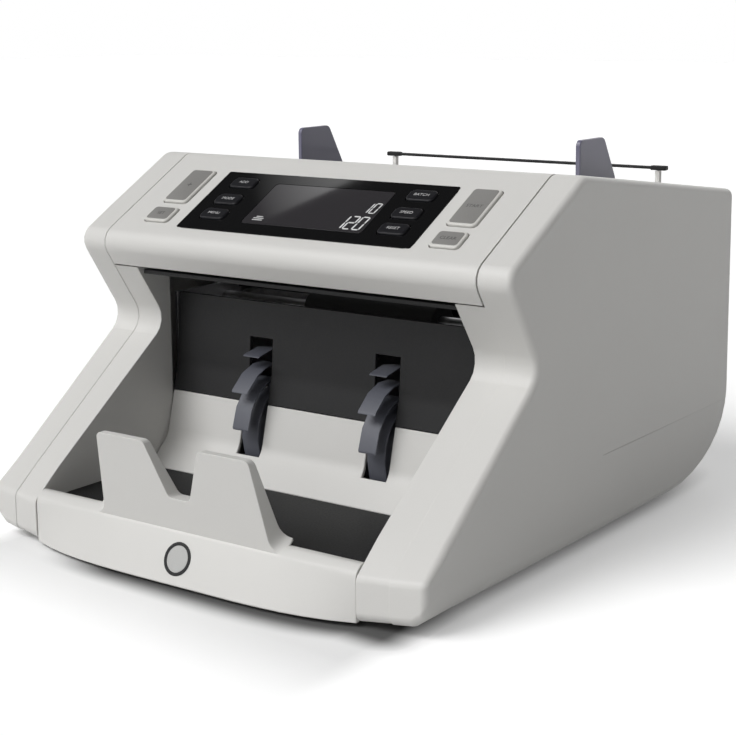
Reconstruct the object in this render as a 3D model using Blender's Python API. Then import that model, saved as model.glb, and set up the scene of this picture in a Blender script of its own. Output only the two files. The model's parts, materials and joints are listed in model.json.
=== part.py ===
import math

import bmesh
import bpy
from mathutils import Matrix, Vector

for item in list(bpy.data.objects):
    bpy.data.objects.remove(item, do_unlink=True)

# Overall body, in metres, X across, front at -Y, Z up
HALF_WIDTH = 0.125
SIDE_DEPTH = 0.017
CHEEK_WIDTH = 0.015
SEAM_HALF = HALF_WIDTH - SIDE_DEPTH
OPENING_HALF = SEAM_HALF - CHEEK_WIDTH
BODY_BOTTOM = 0.005
BACK_Y = 0.1472
BACK_TOP = 0.1533
GAP = 0.0003
CUT_OVER = 0.004
JOIN_DEPTH = 0.001
COVER_WALL = 0.0025
SIDE_EDGE_RADIUS = 0.0032
SKIRT_RADIUS = 0.008
SKIRT_LINE_Z = 0.043
SKIRT_STEP = 0.0007
SKIRT_FRONT_Y = 0.008
CHEEK_STEP = 0.0004
CHEEK_TONGUE = 0.0012

# Side profile, seen along X
LIP_Y = -0.140
LIP_TOP = 0.0228
LIP_DEPTH = 0.0086
LIP_BOW = 0.0093
LIP_ROUND = 0.0032
LIP_TUCK = 0.006
WAIST_Y = -0.0484
WAIST_Z = 0.0927
WAIST_RADIUS = 0.010
NOSE_Y = -0.0779
NOSE_Z = 0.1369
NOSE_RADIUS = 0.008
NOSE_DROP = 0.0139
CREST_RADIUS = 0.010
PANEL_ANGLE = math.radians(29.1)
PANEL_LENGTH = 0.0761
REAR_RUN = 0.062
REAR_RISE = 0.039
CORNER_RADIUS = 0.0045

# Stacker pocket
CHEEK_BACK_Y = -0.044
FLOOR_Z = 0.021
FLOOR_BACK_Y = -0.064
PLATE_WALL = 0.002
BEND_RUN = 0.0137
BEND_RISE = 0.013
BEND_RADIUS = 0.012
GUARD_RUN = 0.009
GUARD_RISE = 0.036
GUARD_RADIUS = 0.03
GUARD_TOP_RISE = 0.036
GUARD_TOP_RUN = 0.003
GUARD_SHARE = 0.62
WHEEL_CLEAR = 0.002
STOP_TOP = 0.0636
STOP_TOP_Y = -0.1437
STOP_TOP_THICK = 0.0042
STOP_SETBACK = 0.0008
STOP_ROUND = 0.003
STOP_FLARE = 0.0060
STOP_SINK = 0.0003
STOP_SIDE = 0.0445
STOP_TAPER = 0.0047
STOP_ROOT = 0.55
STOP_HALF_BASE = OPENING_HALF - STOP_SIDE
STOP_HALF_TOP = STOP_HALF_BASE - STOP_TAPER
NOTCH_HALF_TOP = 0.0157
NOTCH_HALF_BASE = 0.006
NOTCH_Z = 0.0385
CEILING_FRONT_Y = -0.0635
CEILING_DROP = 0.0022
CEILING_BACK_Y = -0.006
CEILING_BACK_Z = 0.114

# Control panel: positions are across X and up the slope from the nose
COVER_WALL_PANEL = 0.003
COVER_BACK_Y = 0.003
COVER_BACK_Z = 0.112
SIDE_KEY_MARGIN = 0.0162
SIDE_KEY_WIDTH = 0.0155
SIDE_KEY_OUT = SEAM_HALF - SIDE_KEY_MARGIN
SIDE_KEY_IN = SIDE_KEY_OUT - SIDE_KEY_WIDTH
SHORT_KEY_LOW = 0.0165
SHORT_KEY_HEIGHT = 0.0117
LONG_KEY_SPACE = 0.0044
LONG_KEY_HEIGHT = 0.0279
GLASS_MARGIN = 0.0079
GLASS_HALF = SIDE_KEY_IN - GLASS_MARGIN
GLASS_LOW = 0.0142
GLASS_HEIGHT = 0.0472
GLASS_HIGH = GLASS_LOW + GLASS_HEIGHT
GLASS_THICK = 0.0012
GLASS_PROUD = 0.0003
GLASS_CORNER = 0.004
KEY_INSET = 0.0158
KEY_CENTRE = GLASS_HALF - KEY_INSET
KEY_ROW_RISES = (0.0120, 0.0241, 0.0380)
KEY_WIDTH = 0.0150
KEY_HEIGHT = 0.0082
KEY_CORNER = 0.0025
KEY_PROUD = 0.0013
KEY_SHOULDER = 0.0008
KEY_ROUND = 0.0003
KEY_CROWN = 0.0009
KEY_CLEAR = 0.0004
KEY_DEPTH = 0.0062
LCD_CENTRE = 0.002
LCD_MARGIN = 0.0174
LCD_HALF = KEY_CENTRE - LCD_MARGIN
LCD_EDGE = 0.0075
LCD_LOW = GLASS_LOW + LCD_EDGE
LCD_HIGH = GLASS_HIGH - LCD_EDGE
LCD_CORNER = 0.002
LCD_LEDGE = 0.002
BOARD_DEPTH = 0.0080
BOARD_THICK = 0.0016
BOARD_MARGIN = 0.006
BOARD_EDGE = 0.001
BOARD_HALF = SEAM_HALF - BOARD_MARGIN
BOARD_LOW = GLASS_LOW - BOARD_EDGE
BOARD_HIGH = GLASS_HIGH + BOARD_EDGE
BOSS_RADIUS = 0.0032
BOSS_SIDE = 0.003
BOSS_INSET = 0.004

# Hopper
TRAY_FRONT_Y = 0.022
TRAY_FRONT_Z = 0.1012
TRAY_ANGLE = math.radians(31.5)
TRAY_BACK_Y = 0.117
TRAY_WALL = 0.0025
TRAY_HALF = SEAM_HALF - GAP
TRAY_WALL_FRONT = 0.004
TRAY_WALL_BACK = 0.012
TRAY_WALL_DROP = 0.002
TRAY_WALL_FOOT = 0.004
TRAY_SLOT_Y = 0.072
TRAY_SLOT_WIDTH = 0.006
TRAY_SLOT_SIDE = 0.0067
TRAY_SLOT_LENGTH = 0.051
TRAY_SLOT_OUT = TRAY_HALF - TRAY_SLOT_SIDE
TRAY_SLOT_IN = TRAY_SLOT_OUT - TRAY_SLOT_LENGTH
ROLLER_CLEAR = 0.002
BAR_SIDE = 0.019
BAR_HALF = SEAM_HALF - BAR_SIDE
BAR_SETBACK = 0.0055
BAR_DEPTH = 0.0030
BAR_THICK = 0.0015
BAR_RISE = 0.0071
BAR_PAD_LENGTH = 0.0085
BAR_PAD_THICK = 0.0024
BAR_ROUND = 0.0005
POST_INSET = 0.0045
POST_HALF = 0.0013
GUIDE_SIDE = 0.0237
GUIDE_X = TRAY_HALF - GUIDE_SIDE
GUIDE_THICK = 0.0025
GUIDE_FRONT_Y = 0.0528
GUIDE_TOP_BACK_Y = 0.0776
GUIDE_BACK_Y = 0.0900
GUIDE_TOP = 0.1833
GUIDE_SHOULDER = 0.162
GUIDE_ROUNDS = (0.003, 0.004, 0.006)
GUIDE_FOOT = 0.012
GUIDE_FOOT_THICK = 0.002
TONGUE_SIDE = 0.001
TONGUE_WIDTH = 0.006
TONGUE_PLAY = 0.0006
KEEPER_REACH = 0.006
KEEPER_THICK = 0.002

# Note transport, shaft centres as (y, z)
CHASSIS_CLEAR = 0.005
PLATE_X = OPENING_HALF + CHASSIS_CLEAR
CHASSIS_WALL = 0.0015
CHASSIS_FRONT_Y = -0.038
CHASSIS_SETBACK = 0.004
CHASSIS_UNDER = 0.0012
CHASSIS_NOTCH = 0.012
BEARING_ROOM = 0.009
BEARING_SIDE = 0.007
PICKUP_RISE = 0.006
PICKUP_REACH = 0.014
CHASSIS_BACK_INSET = 0.0015
SHAFT_RADIUS = 0.004
CHAMFER = 0.0005
PICKUP_Y = 0.052
PICKUP_Z = 0.104
PICKUP_RADIUS = 0.016
FEED_Y = 0.026
FEED_Z = 0.080
FEED_RADIUS = 0.016
SEPARATOR_RADIUS = 0.010
SEPARATOR_ANGLE = math.radians(143)
SEPARATOR_GAP = 0.0005
STACKER_Y = -0.022
STACKER_Z = 0.055
STACKER_RADIUS = 0.036
STACKER_HUB = 0.010
STACKER_X = 0.038
STACKER_WIDTH = 0.010
FIN_COUNT = 12
FIN_THICK = 0.0016
FIN_SWEEP = math.radians(75)
FIN_CURL = 1.3
FIN_TAPER = 0.35
FIN_LEAN = math.radians(35)
ROLLER_X = 0.030
ROLLER_WIDTH = 0.018
MOTOR_Y = 0.072
MOTOR_Z = 0.045
MOTOR_RADIUS = 0.022
MOTOR_LENGTH = 0.058
MOTOR_ROUND = 0.002
PULLEY_WIDTH = 0.006
BELT_WIDTH = 0.005
BELT_THICK = 0.0015
MOTOR_PULLEY = 0.009
FEED_PULLEY = 0.014
STACKER_PULLEY = 0.020
PICKUP_PULLEY = 0.0075
FLANGE = 0.0020
BELT_PLAY = 0.0002

# Base, rear and electrics
BASE_WALL = 0.0025
FOOT_RADIUS = 0.009
FOOT_ROUND = 0.001
FOOT_INSET = 0.013
FOOT_X = OPENING_HALF - FOOT_INSET
FOOT_FRONT_Y = -0.112
FOOT_REAR_Y = 0.080
INLET_SIDE = 0.042
INLET_X = SEAM_HALF - INLET_SIDE
INLET_Z = 0.064
INLET_HALF_WIDTH = 0.0138
INLET_HALF_HEIGHT = 0.0100
INLET_DEPTH = 0.020
INLET_WALL = 0.0025
INLET_FLOOR = 0.004
PIN_SPREAD = 0.006
PIN_DROP = 0.002
PIN_HALF_WIDTH = 0.001
PIN_HALF_HEIGHT = 0.002
PIN_SINK = 0.003
FLANGE_EDGE = 0.0035
FLANGE_THICK = 0.0018
SWITCH_SPACE = 0.036
SWITCH_X = INLET_X - SWITCH_SPACE
SWITCH_HALF_WIDTH = 0.0065
SWITCH_HALF_HEIGHT = 0.0095
SWITCH_DEPTH = 0.014
SWITCH_WALL = 0.0012
SWITCH_EDGE = 0.001
ROCKER_CLEAR = 0.0008
ROCKER_LIP = 0.0012
ROCKER_HOLLOW = 0.0005
ROCKER_SINK = 0.004
ROCKER_TAIL = 0.006
ROCKER_ROUND = 0.001
ROCKER_TILT = math.radians(7)
VENT_COUNT = 7
VENT_PITCH = 0.008
VENT_WIDTH = 0.003
VENT_LENGTH = 0.040
VENT_SIDE = 0.053
VENT_X = VENT_SIDE - SEAM_HALF
VENT_Z = 0.105
REAR_LIP = 0.008
REAR_LIP_ROUND = 0.003
SUPPLY_SIZE = (0.055, 0.040, 0.040)
SUPPLY_SIDE = 0.050
SUPPLY_X = PLATE_X - SUPPLY_SIDE
SUPPLY_BACK_INSET = 0.002
SUPPLY_ROUND = 0.0015
MAIN_BOARD_SIDE = 0.054
MAIN_BOARD_X = PLATE_X - MAIN_BOARD_SIDE
MAIN_BOARD_HALF = 0.042
MAIN_BOARD_FRONT_Y = 0.020
MAIN_BOARD_BACK_Y = 0.053
STANDOFF = 0.006
STANDOFF_RADIUS = 0.003
STANDOFF_INSET = 0.005
ARC_STEPS = 4
ROUND_STEPS = 20
PIN_STEPS = 16
BOSS_STEPS = 12

parts = bpy.data.collections.new("banknote_counter")
bpy.context.scene.collection.children.link(parts)
cutters = bpy.data.collections.new("cutters")
bpy.context.scene.collection.children.link(cutters)


def finish(name, colour, roughness, metallic=0.0):
    material = bpy.data.materials.new(name)
    material.use_nodes = True
    shader = material.node_tree.nodes["Principled BSDF"]
    shader.inputs["Base Color"].default_value = (*colour, 1.0)
    shader.inputs["Roughness"].default_value = roughness
    shader.inputs["Metallic"].default_value = metallic
    return material


HOUSING = finish("housing_plastic", (0.69, 0.68, 0.65), 0.45)
DARK_PLASTIC = finish("dark_plastic", (0.03, 0.03, 0.032), 0.5)
GLASS_BLACK = finish("black_gloss", (0.008, 0.008, 0.009), 0.12)
LCD_GREY = finish("lcd_grey", (0.035, 0.033, 0.036), 0.2)
KEY_GREY = finish("key_grey", (0.35, 0.34, 0.32), 0.5)
GUIDE_BLUE = finish("guide_plastic", (0.12, 0.115, 0.17), 0.35)
STEEL = finish("steel", (0.55, 0.55, 0.56), 0.35, 1.0)
RUBBER = finish("rubber", (0.02, 0.02, 0.02), 0.8)
BOARD_GREEN = finish("circuit_board", (0.02, 0.10, 0.04), 0.5)
FIN_PLASTIC = finish("fin_plastic", (0.10, 0.11, 0.14), 0.5)
MOTOR_STEEL = finish("motor_steel", (0.30, 0.30, 0.31), 0.4, 1.0)


# Turn corner points (u, v, radius) into a line with arcs at the corners
def rounded(corners, closed=True):
    line = []
    count = len(corners)
    for index, (u, v, radius) in enumerate(corners):
        here = Vector((u, v))
        end = not closed and index in (0, count - 1)
        if radius <= 0 or end:
            line.append(here)
            continue
        before = Vector(corners[index - 1][:2]) - here
        after = Vector(corners[(index + 1) % count][:2]) - here
        half = before.angle(after) / 2
        reach = radius / math.tan(half)
        middle = (before.normalized() + after.normalized()).normalized()
        centre = here + middle * radius / math.sin(half)
        first = here + before.normalized() * reach - centre
        turn = first.angle_signed(here + after.normalized() * reach - centre)
        for step in range(ARC_STEPS + 1):
            spun = first.copy()
            spun.rotate(Matrix.Rotation(-turn * step / ARC_STEPS, 2))
            line.append(centre + spun)
    return line


# Move a line sideways: to its right hand for a positive distance
def shifted(line, distance, closed=True):
    moved = []
    count = len(line)
    for index, here in enumerate(line):
        ahead = line[(index + 1) % count] - here
        behind = here - line[index - 1]
        if not closed and index == 0:
            behind = ahead
        if not closed and index == count - 1:
            ahead = behind
        ahead = ahead.normalized()
        behind = behind.normalized()
        side = Vector((ahead.y + behind.y, -ahead.x - behind.x)).normalized()
        lean = side.dot(Vector((ahead.y, -ahead.x)))
        moved.append(here + side * distance / lean)
    return moved


# A wall of even thickness that follows an open line
def wall_section(line, thickness):
    return line + list(reversed(shifted(line, thickness, closed=False)))


def on_slope(y):
    return TRAY_FRONT_Z + (y - TRAY_FRONT_Y) * math.tan(TRAY_ANGLE)


def store(name, mesh, material, origin=(0, 0, 0), parent=None):
    mesh.transform(Matrix.Translation(-Vector(origin)))
    mesh.materials.append(material)
    mesh.shade_smooth()
    mesh.set_sharp_from_angle(angle=math.radians(32))
    made = bpy.data.objects.new(name, mesh)
    made.location = origin
    made.parent = parent
    parts.objects.link(made)
    return made


def from_bmesh(name, body):
    bmesh.ops.remove_doubles(body, verts=body.verts, dist=1e-7)
    bmesh.ops.recalc_face_normals(body, faces=body.faces)
    mesh = bpy.data.meshes.new(name)
    body.to_mesh(mesh)
    body.free()
    return mesh


# Skin over a run of closed rings, with a cap at each end
def loft_mesh(name, rings):
    body = bmesh.new()
    loops = [[body.verts.new(point) for point in ring] for ring in rings]
    for one, two in zip(loops, loops[1:]):
        for index in range(len(one)):
            after = (index + 1) % len(one)
            body.faces.new((one[index], one[after], two[after], two[index]))
    body.faces.new(list(reversed(loops[0])))
    body.faces.new(loops[-1])
    return from_bmesh(name, body)


def ring_at(x, line):
    return [(x, point.x, point.y) for point in line]


def extrusion(name, line, left, right):
    return loft_mesh(name, [ring_at(left, line), ring_at(right, line)])


# Flat outline with holes, given in (y, z) and thickened along X
def plate_mesh(name, loops, left, right):
    curve = bpy.data.curves.new(name, "CURVE")
    curve.dimensions = "2D"
    curve.fill_mode = "BOTH"
    curve.extrude = (right - left) / 2
    for loop in loops:
        spline = curve.splines.new("POLY")
        spline.points.add(len(loop) - 1)
        for point, place in zip(spline.points, loop):
            point.co = (place[0], place[1], 0, 1)
        spline.use_cyclic_u = True
    holder = bpy.data.objects.new(name, curve)
    bpy.context.scene.collection.objects.link(holder)
    graph = bpy.context.evaluated_depsgraph_get()
    mesh = bpy.data.meshes.new_from_object(holder.evaluated_get(graph))
    bpy.data.objects.remove(holder, do_unlink=True)
    body = bmesh.new()
    body.from_mesh(mesh)
    bmesh.ops.remove_doubles(body, verts=body.verts, dist=1e-6)
    across = Matrix(((0, 0, 1, (left + right) / 2), (1, 0, 0, 0), (0, 1, 0, 0), (0, 0, 0, 1)))
    bmesh.ops.transform(body, matrix=across, verts=body.verts)
    mesh.materials.clear()
    return from_bmesh(name, body)


def circle(y, z, radius, steps=ROUND_STEPS):
    turn = 2 * math.pi / steps
    return [(y + radius * math.cos(turn * k), z + radius * math.sin(turn * k)) for k in range(steps)]


def box_mesh(name, low, high, bevel=0.0, steps=2):
    body = bmesh.new()
    bmesh.ops.create_cube(body, size=1)
    size = [top - bottom for bottom, top in zip(low, high)]
    middle = [(top + bottom) / 2 for bottom, top in zip(low, high)]
    bmesh.ops.transform(body, matrix=Matrix.Diagonal((*size, 1)), verts=body.verts)
    bmesh.ops.translate(body, vec=middle, verts=body.verts)
    if bevel:
        bmesh.ops.bevel(body, geom=body.edges, offset=bevel, segments=steps, profile=0.5, affect="EDGES")
    return from_bmesh(name, body)


# Plate with rounded corners in its own plane, thickened along local Z
def tile_mesh(name, low, high, bottom, top, corner):
    outline = rounded([(low[0], low[1], corner), (high[0], low[1], corner),
                       (high[0], high[1], corner), (low[0], high[1], corner)])
    rings = [[(point.x, point.y, height) for point in outline] for height in (bottom, top)]
    return loft_mesh(name, rings)


# Turned piece about an X axis, given as (x, radius) corners of its section
def turned_mesh(name, section, y, z, steps=ROUND_STEPS):
    body = bmesh.new()
    spots = [body.verts.new((x, 0, radius)) for x, radius in section]
    edges = [body.edges.new((one, two)) for one, two in zip(spots, spots[1:])]
    if min(radius for x, radius in section) > 0:
        edges.append(body.edges.new((spots[-1], spots[0])))
    bmesh.ops.spin(body, geom=spots + edges, cent=(0, 0, 0), axis=(1, 0, 0), dvec=(0, 0, 0),
                   angle=2 * math.pi, steps=steps, use_merge=True)
    bmesh.ops.translate(body, vec=(0, y, z), verts=body.verts)
    return from_bmesh(name, body)


def rod(name, y, z, radius, left, right, material):
    section = [(left, 0), (left, radius - CHAMFER), (left + CHAMFER, radius),
               (right - CHAMFER, radius), (right, radius - CHAMFER), (right, 0)]
    return store(name, turned_mesh(name, section, y, z, PIN_STEPS), material, (0, y, z))


def sleeve(name, y, z, outer, inner, left, right, material):
    section = [(left, inner), (left, outer - CHAMFER), (left + CHAMFER, outer),
               (right - CHAMFER, outer), (right, outer - CHAMFER), (right, inner)]
    return store(name, turned_mesh(name, section, y, z), material, (0, y, z))


def tool(name, mesh, parent=None):
    made = bpy.data.objects.new(name, mesh)
    made.parent = parent
    made.hide_render = True
    made.display_type = "WIRE"
    cutters.objects.link(made)
    return made


def combine(target, name, mesh, operation, parent=None):
    change = target.modifiers.new(name, "BOOLEAN")
    change.operation = operation
    change.object = tool(name, mesh, parent)


def cut(target, name, mesh, parent=None):
    combine(target, name, mesh, "DIFFERENCE", parent)


def join(target, name, mesh, parent=None):
    combine(target, name, mesh, "UNION", parent)


CREST_Y = NOSE_Y + PANEL_LENGTH * math.cos(PANEL_ANGLE)
CREST_Z = NOSE_Z + PANEL_LENGTH * math.sin(PANEL_ANGLE)
LIP_BACK_Y = LIP_Y + LIP_DEPTH
SLOPE_RISE = (WAIST_Z - LIP_TOP) / (WAIST_Y - LIP_Y)
LIP_BACK_Z = LIP_TOP + LIP_DEPTH * SLOPE_RISE
UNDERCUT = (WAIST_Y - NOSE_Y) / (NOSE_Z - WAIST_Z)
COVER_LOW_Z = NOSE_Z - NOSE_DROP
COVER_LOW_Y = NOSE_Y + NOSE_DROP * UNDERCUT
TOP_FALL = (CREST_Z - BACK_TOP) / (BACK_Y - CREST_Y)
TRAY_DROP = TRAY_WALL / math.cos(TRAY_ANGLE)
SEPARATOR_REACH = FEED_RADIUS + SEPARATOR_RADIUS + SEPARATOR_GAP
SEPARATOR_Y = FEED_Y + SEPARATOR_REACH * math.cos(SEPARATOR_ANGLE)
SEPARATOR_Z = FEED_Z + SEPARATOR_REACH * math.sin(SEPARATOR_ANGLE)
BASE_TOP = BODY_BOTTOM + BASE_WALL
PLATE_OUT = PLATE_X + CHASSIS_WALL
REAR_TOP_Y = TRAY_BACK_Y + TRAY_WALL * math.sin(TRAY_ANGLE) + GAP


def top_line(y):
    return CREST_Z - (y - CREST_Y) * TOP_FALL


def rear_corner(bottom, steps=8):
    turns = [math.pi / 2 * step / steps for step in range(steps + 1)]
    return [(BACK_Y - REAR_RUN * (1 - math.cos(turn)), bottom + REAR_RISE * (1 - math.sin(turn)), 0)
            for turn in turns]


# Whole side silhouette, from the lip up over the nose and crest to the back
def side_line(bottom):
    corners = [(LIP_Y, bottom, CORNER_RADIUS), (LIP_Y, LIP_TOP, CORNER_RADIUS),
               (WAIST_Y, WAIST_Z, WAIST_RADIUS), (NOSE_Y, NOSE_Z, NOSE_RADIUS),
               (CREST_Y, CREST_Z, CREST_RADIUS), (BACK_Y, BACK_TOP, CORNER_RADIUS)]
    return rounded(corners + rear_corner(bottom))


def mirror_x(rings, side):
    return [[(side * x, y, z) for x, y, z in ring] for ring in rings]


def skirt_rise(x):
    inside = max(0.0, x - (HALF_WIDTH - SKIRT_RADIUS))
    return SKIRT_RADIUS - math.sqrt(max(0.0, SKIRT_RADIUS ** 2 - inside ** 2))


# Section of the rear cover: lip behind the hopper, back wall and the tucked-under foot
def rear_section():
    top = top_line(REAR_TOP_Y)
    corners = [(REAR_TOP_Y, top - REAR_LIP, 0), (REAR_TOP_Y, top, REAR_LIP_ROUND),
               (BACK_Y, BACK_TOP, CORNER_RADIUS)]
    return wall_section(rounded(corners + rear_corner(BODY_BOTTOM)[:-1], closed=False), COVER_WALL)


BASE_BACK_Y = min(point.x for point in rear_section()) - GAP
CHASSIS_BACK_Y = BASE_BACK_Y - CHASSIS_BACK_INSET


# Side cover: a deep tray of plastic, open towards the middle, with the cheek beside the pocket
def side_cover(name, side):
    rings = []
    steps = 4
    for step in range(steps + 1):
        turn = math.pi / 2 * step / steps
        inset = SIDE_EDGE_RADIUS * (1 - math.sin(turn))
        x = HALF_WIDTH - SIDE_EDGE_RADIUS * (1 - math.cos(turn))
        line = side_line(BODY_BOTTOM + skirt_rise(x) - inset)
        rings.append(ring_at(x, shifted(line, inset)))
    for share in (0.75, 1.0):
        x = HALF_WIDTH - SIDE_EDGE_RADIUS - share * (SKIRT_RADIUS - SIDE_EDGE_RADIUS)
        rings.append(ring_at(x, side_line(BODY_BOTTOM + skirt_rise(x))))
    rim = SEAM_HALF + GAP
    rings.append(ring_at(rim, side_line(BODY_BOTTOM)))
    rings.append(ring_at(rim, shifted(side_line(BODY_BOTTOM), COVER_WALL)))
    rings.append(ring_at(HALF_WIDTH - SKIRT_RADIUS, shifted(side_line(BODY_BOTTOM), COVER_WALL)))
    floor = HALF_WIDTH - COVER_WALL
    inner = side_line(BODY_BOTTOM + skirt_rise(floor))
    rings.append(ring_at(floor - GAP, shifted(inner, COVER_WALL)))
    cover = store(name, loft_mesh(name, mirror_x(rings, side)), HOUSING)
    wedge = [(HALF_WIDTH + SKIRT_STEP, SKIRT_FRONT_Y), (HALF_WIDTH, SKIRT_FRONT_Y),
             (HALF_WIDTH - SKIRT_STEP, BACK_Y), (HALF_WIDTH + SKIRT_STEP, BACK_Y)]
    levels = (BODY_BOTTOM - SKIRT_STEP, SKIRT_LINE_Z)
    flats = [[(x, y, z) for x, y in wedge] for z in levels]
    cut(cover, name + "_skirt_step", loft_mesh(name + "_skirt_step", mirror_x(flats, side)))
    join(cover, name + "_cheek", cheek_mesh(name + "_cheek", side))
    return cover


# Cheek beside the pocket: a step lower than the cover, open on its hidden outer side
def cheek_mesh(name, side):
    top = COVER_LOW_Z - GAP
    corners = [(LIP_Y, BODY_BOTTOM, CORNER_RADIUS), (LIP_Y, LIP_TOP, CORNER_RADIUS),
               (WAIST_Y, WAIST_Z, WAIST_RADIUS), (COVER_LOW_Y + GAP * UNDERCUT, top, 0),
               (CHEEK_BACK_Y, top, 0), (CHEEK_BACK_Y, BODY_BOTTOM, 0)]
    line = shifted(rounded(corners), CHEEK_STEP)
    inner = shifted(line, COVER_WALL - 2 * CHEEK_STEP)
    rim = SEAM_HALF + GAP + CHEEK_TONGUE
    floor = OPENING_HALF + COVER_WALL
    rings = [ring_at(OPENING_HALF, line), ring_at(rim, line), ring_at(rim, inner), ring_at(floor, inner)]
    return loft_mesh(name, mirror_x(rings, side))


def lip_front(x):
    return LIP_Y - LIP_BOW * (1 - (x / (OPENING_HALF - GAP)) ** 4)


# Front piece: bowed lip and the pair of leaning note stops with the notch between
def stacker_front():
    half = OPENING_HALF - GAP
    steps = 16
    rings = []
    for step in range(steps + 1):
        x = half * (2 * step / steps - 1)
        foot = lip_front(x)
        corners = [(foot, BODY_BOTTOM, 0), (LIP_Y, LIP_TOP, CORNER_RADIUS),
                   (LIP_BACK_Y, LIP_BACK_Z, LIP_ROUND), (LIP_BACK_Y, FLOOR_Z - LIP_TUCK, 0)]
        rings.append(ring_at(x, wall_section(rounded(corners, closed=False), COVER_WALL)))
    front = store("stacker_front", loft_mesh("stacker_front", rings), HOUSING)
    faces = []
    front_face = (STOP_TOP_Y - STOP_TOP_THICK, LIP_Y + STOP_SETBACK)
    back_face = (STOP_TOP_Y, LIP_BACK_Y - GAP)
    for top_y, foot_y in (front_face, back_face):
        skin = LIP_TOP + (foot_y - LIP_Y) * SLOPE_RISE - STOP_SINK
        base = skin - COVER_WALL * STOP_ROOT
        lean = (top_y - foot_y) / (STOP_TOP - base)
        flared = STOP_HALF_BASE + STOP_FLARE
        corners = [(-flared, base, 0), (-flared, skin, 0), (-STOP_HALF_BASE, skin, STOP_FLARE),
                   (-STOP_HALF_TOP, STOP_TOP, STOP_ROUND), (-NOTCH_HALF_TOP, STOP_TOP, STOP_ROUND),
                   (-NOTCH_HALF_BASE, NOTCH_Z, STOP_ROUND)]
        corners += [(-x, z, radius) for x, z, radius in reversed(corners)]
        faces.append([(x, foot_y + (z - base) * lean, z) for x, z in rounded(corners)])
    stops = loft_mesh("note_stops", faces)
    join(front, "note_stops", stops)
    return front


def stacker_floor():
    line = [Vector((FLOOR_BACK_Y, FLOOR_Z)), Vector((LIP_BACK_Y + GAP, FLOOR_Z))]
    section = wall_section(line, -PLATE_WALL)
    half = OPENING_HALF - GAP
    return store("stacker_floor", extrusion("stacker_floor", section, -half, half), DARK_PLASTIC)


# Plates behind the pocket, slotted for the stacker wheels: pale and curved below, a dark guard above
def pocket_backs():
    bend = Vector((FLOOR_BACK_Y + GAP + BEND_RUN, FLOOR_Z + BEND_RISE))
    knee = bend + Vector((GUARD_RUN, GUARD_RISE))
    top = knee + Vector((GUARD_TOP_RUN, GUARD_TOP_RISE))
    split = bend.lerp(knee, GUARD_SHARE)
    spare = (knee - bend).normalized() * GAP
    lower = [(FLOOR_BACK_Y + GAP, FLOOR_Z, 0), (*bend, BEND_RADIUS), (*split, 0)]
    upper = [(*(split + spare), 0), (*knee, GUARD_RADIUS), (*top, 0)]
    half = OPENING_HALF - GAP
    slot = STACKER_WIDTH / 2 + WHEEL_CLEAR
    ring = [Vector(spot) for spot in circle(STACKER_Y, STACKER_Z, STACKER_RADIUS + WHEEL_CLEAR)]
    plates = (("stacker_back_plate", lower, HOUSING), ("transport_guard", upper, DARK_PLASTIC))
    for name, corners, material in plates:
        section = wall_section(rounded(corners, closed=False), PLATE_WALL)
        plate = store(name, extrusion(name, section, -half, half), material)
        for side, word in ((-1, "left"), (1, "right")):
            hole = name + "_slot_" + word
            cut(plate, hole, extrusion(hole, ring, side * STACKER_X - slot, side * STACKER_X + slot))


# Dark plate over the pocket, from behind the nose back to the separator roller
def stacker_ceiling():
    front_z = COVER_LOW_Z - CEILING_DROP
    line = [Vector((CEILING_FRONT_Y, front_z)), Vector((CEILING_BACK_Y, CEILING_BACK_Z))]
    half = OPENING_HALF - GAP
    section = wall_section(line, PLATE_WALL)
    return store("stacker_ceiling", extrusion("stacker_ceiling", section, -half, half), DARK_PLASTIC)


panel = bpy.data.objects.new("panel_frame", None)
panel.location = (0, NOSE_Y, NOSE_Z)
panel.rotation_euler = (PANEL_ANGLE, 0, 0)
parts.objects.link(panel)


def key_sizes():
    sizes = []
    for rise, place in zip(KEY_ROW_RISES, ("lower", "middle", "upper")):
        row = GLASS_LOW + rise
        for side, word in ((-1, "left"), (1, "right")):
            name = "%s_%s_key" % (word, place)
            sizes.append((name, side * KEY_CENTRE, row, KEY_WIDTH, KEY_HEIGHT))
    centre = (SIDE_KEY_OUT + SIDE_KEY_IN) / 2
    long_low = SHORT_KEY_LOW + SHORT_KEY_HEIGHT + LONG_KEY_SPACE
    spans = ((SHORT_KEY_LOW, SHORT_KEY_HEIGHT, "short"), (long_low, LONG_KEY_HEIGHT, "long"))
    for low, height, place in spans:
        for side, word in ((-1, "left"), (1, "right")):
            name = "%s_%s_key" % (word, place)
            sizes.append((name, side * centre, low + height / 2, SIDE_KEY_WIDTH, height))
    return sizes


# Opening for a key in the panel plane, between two depths
def key_opening(name, x, row, width, height, bottom, top):
    half_u = width / 2 + KEY_CLEAR
    half_v = height / 2 + KEY_CLEAR
    return tile_mesh(name, (x - half_u, row - half_v), (x + half_u, row + half_v), bottom, top, KEY_CORNER)


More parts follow.
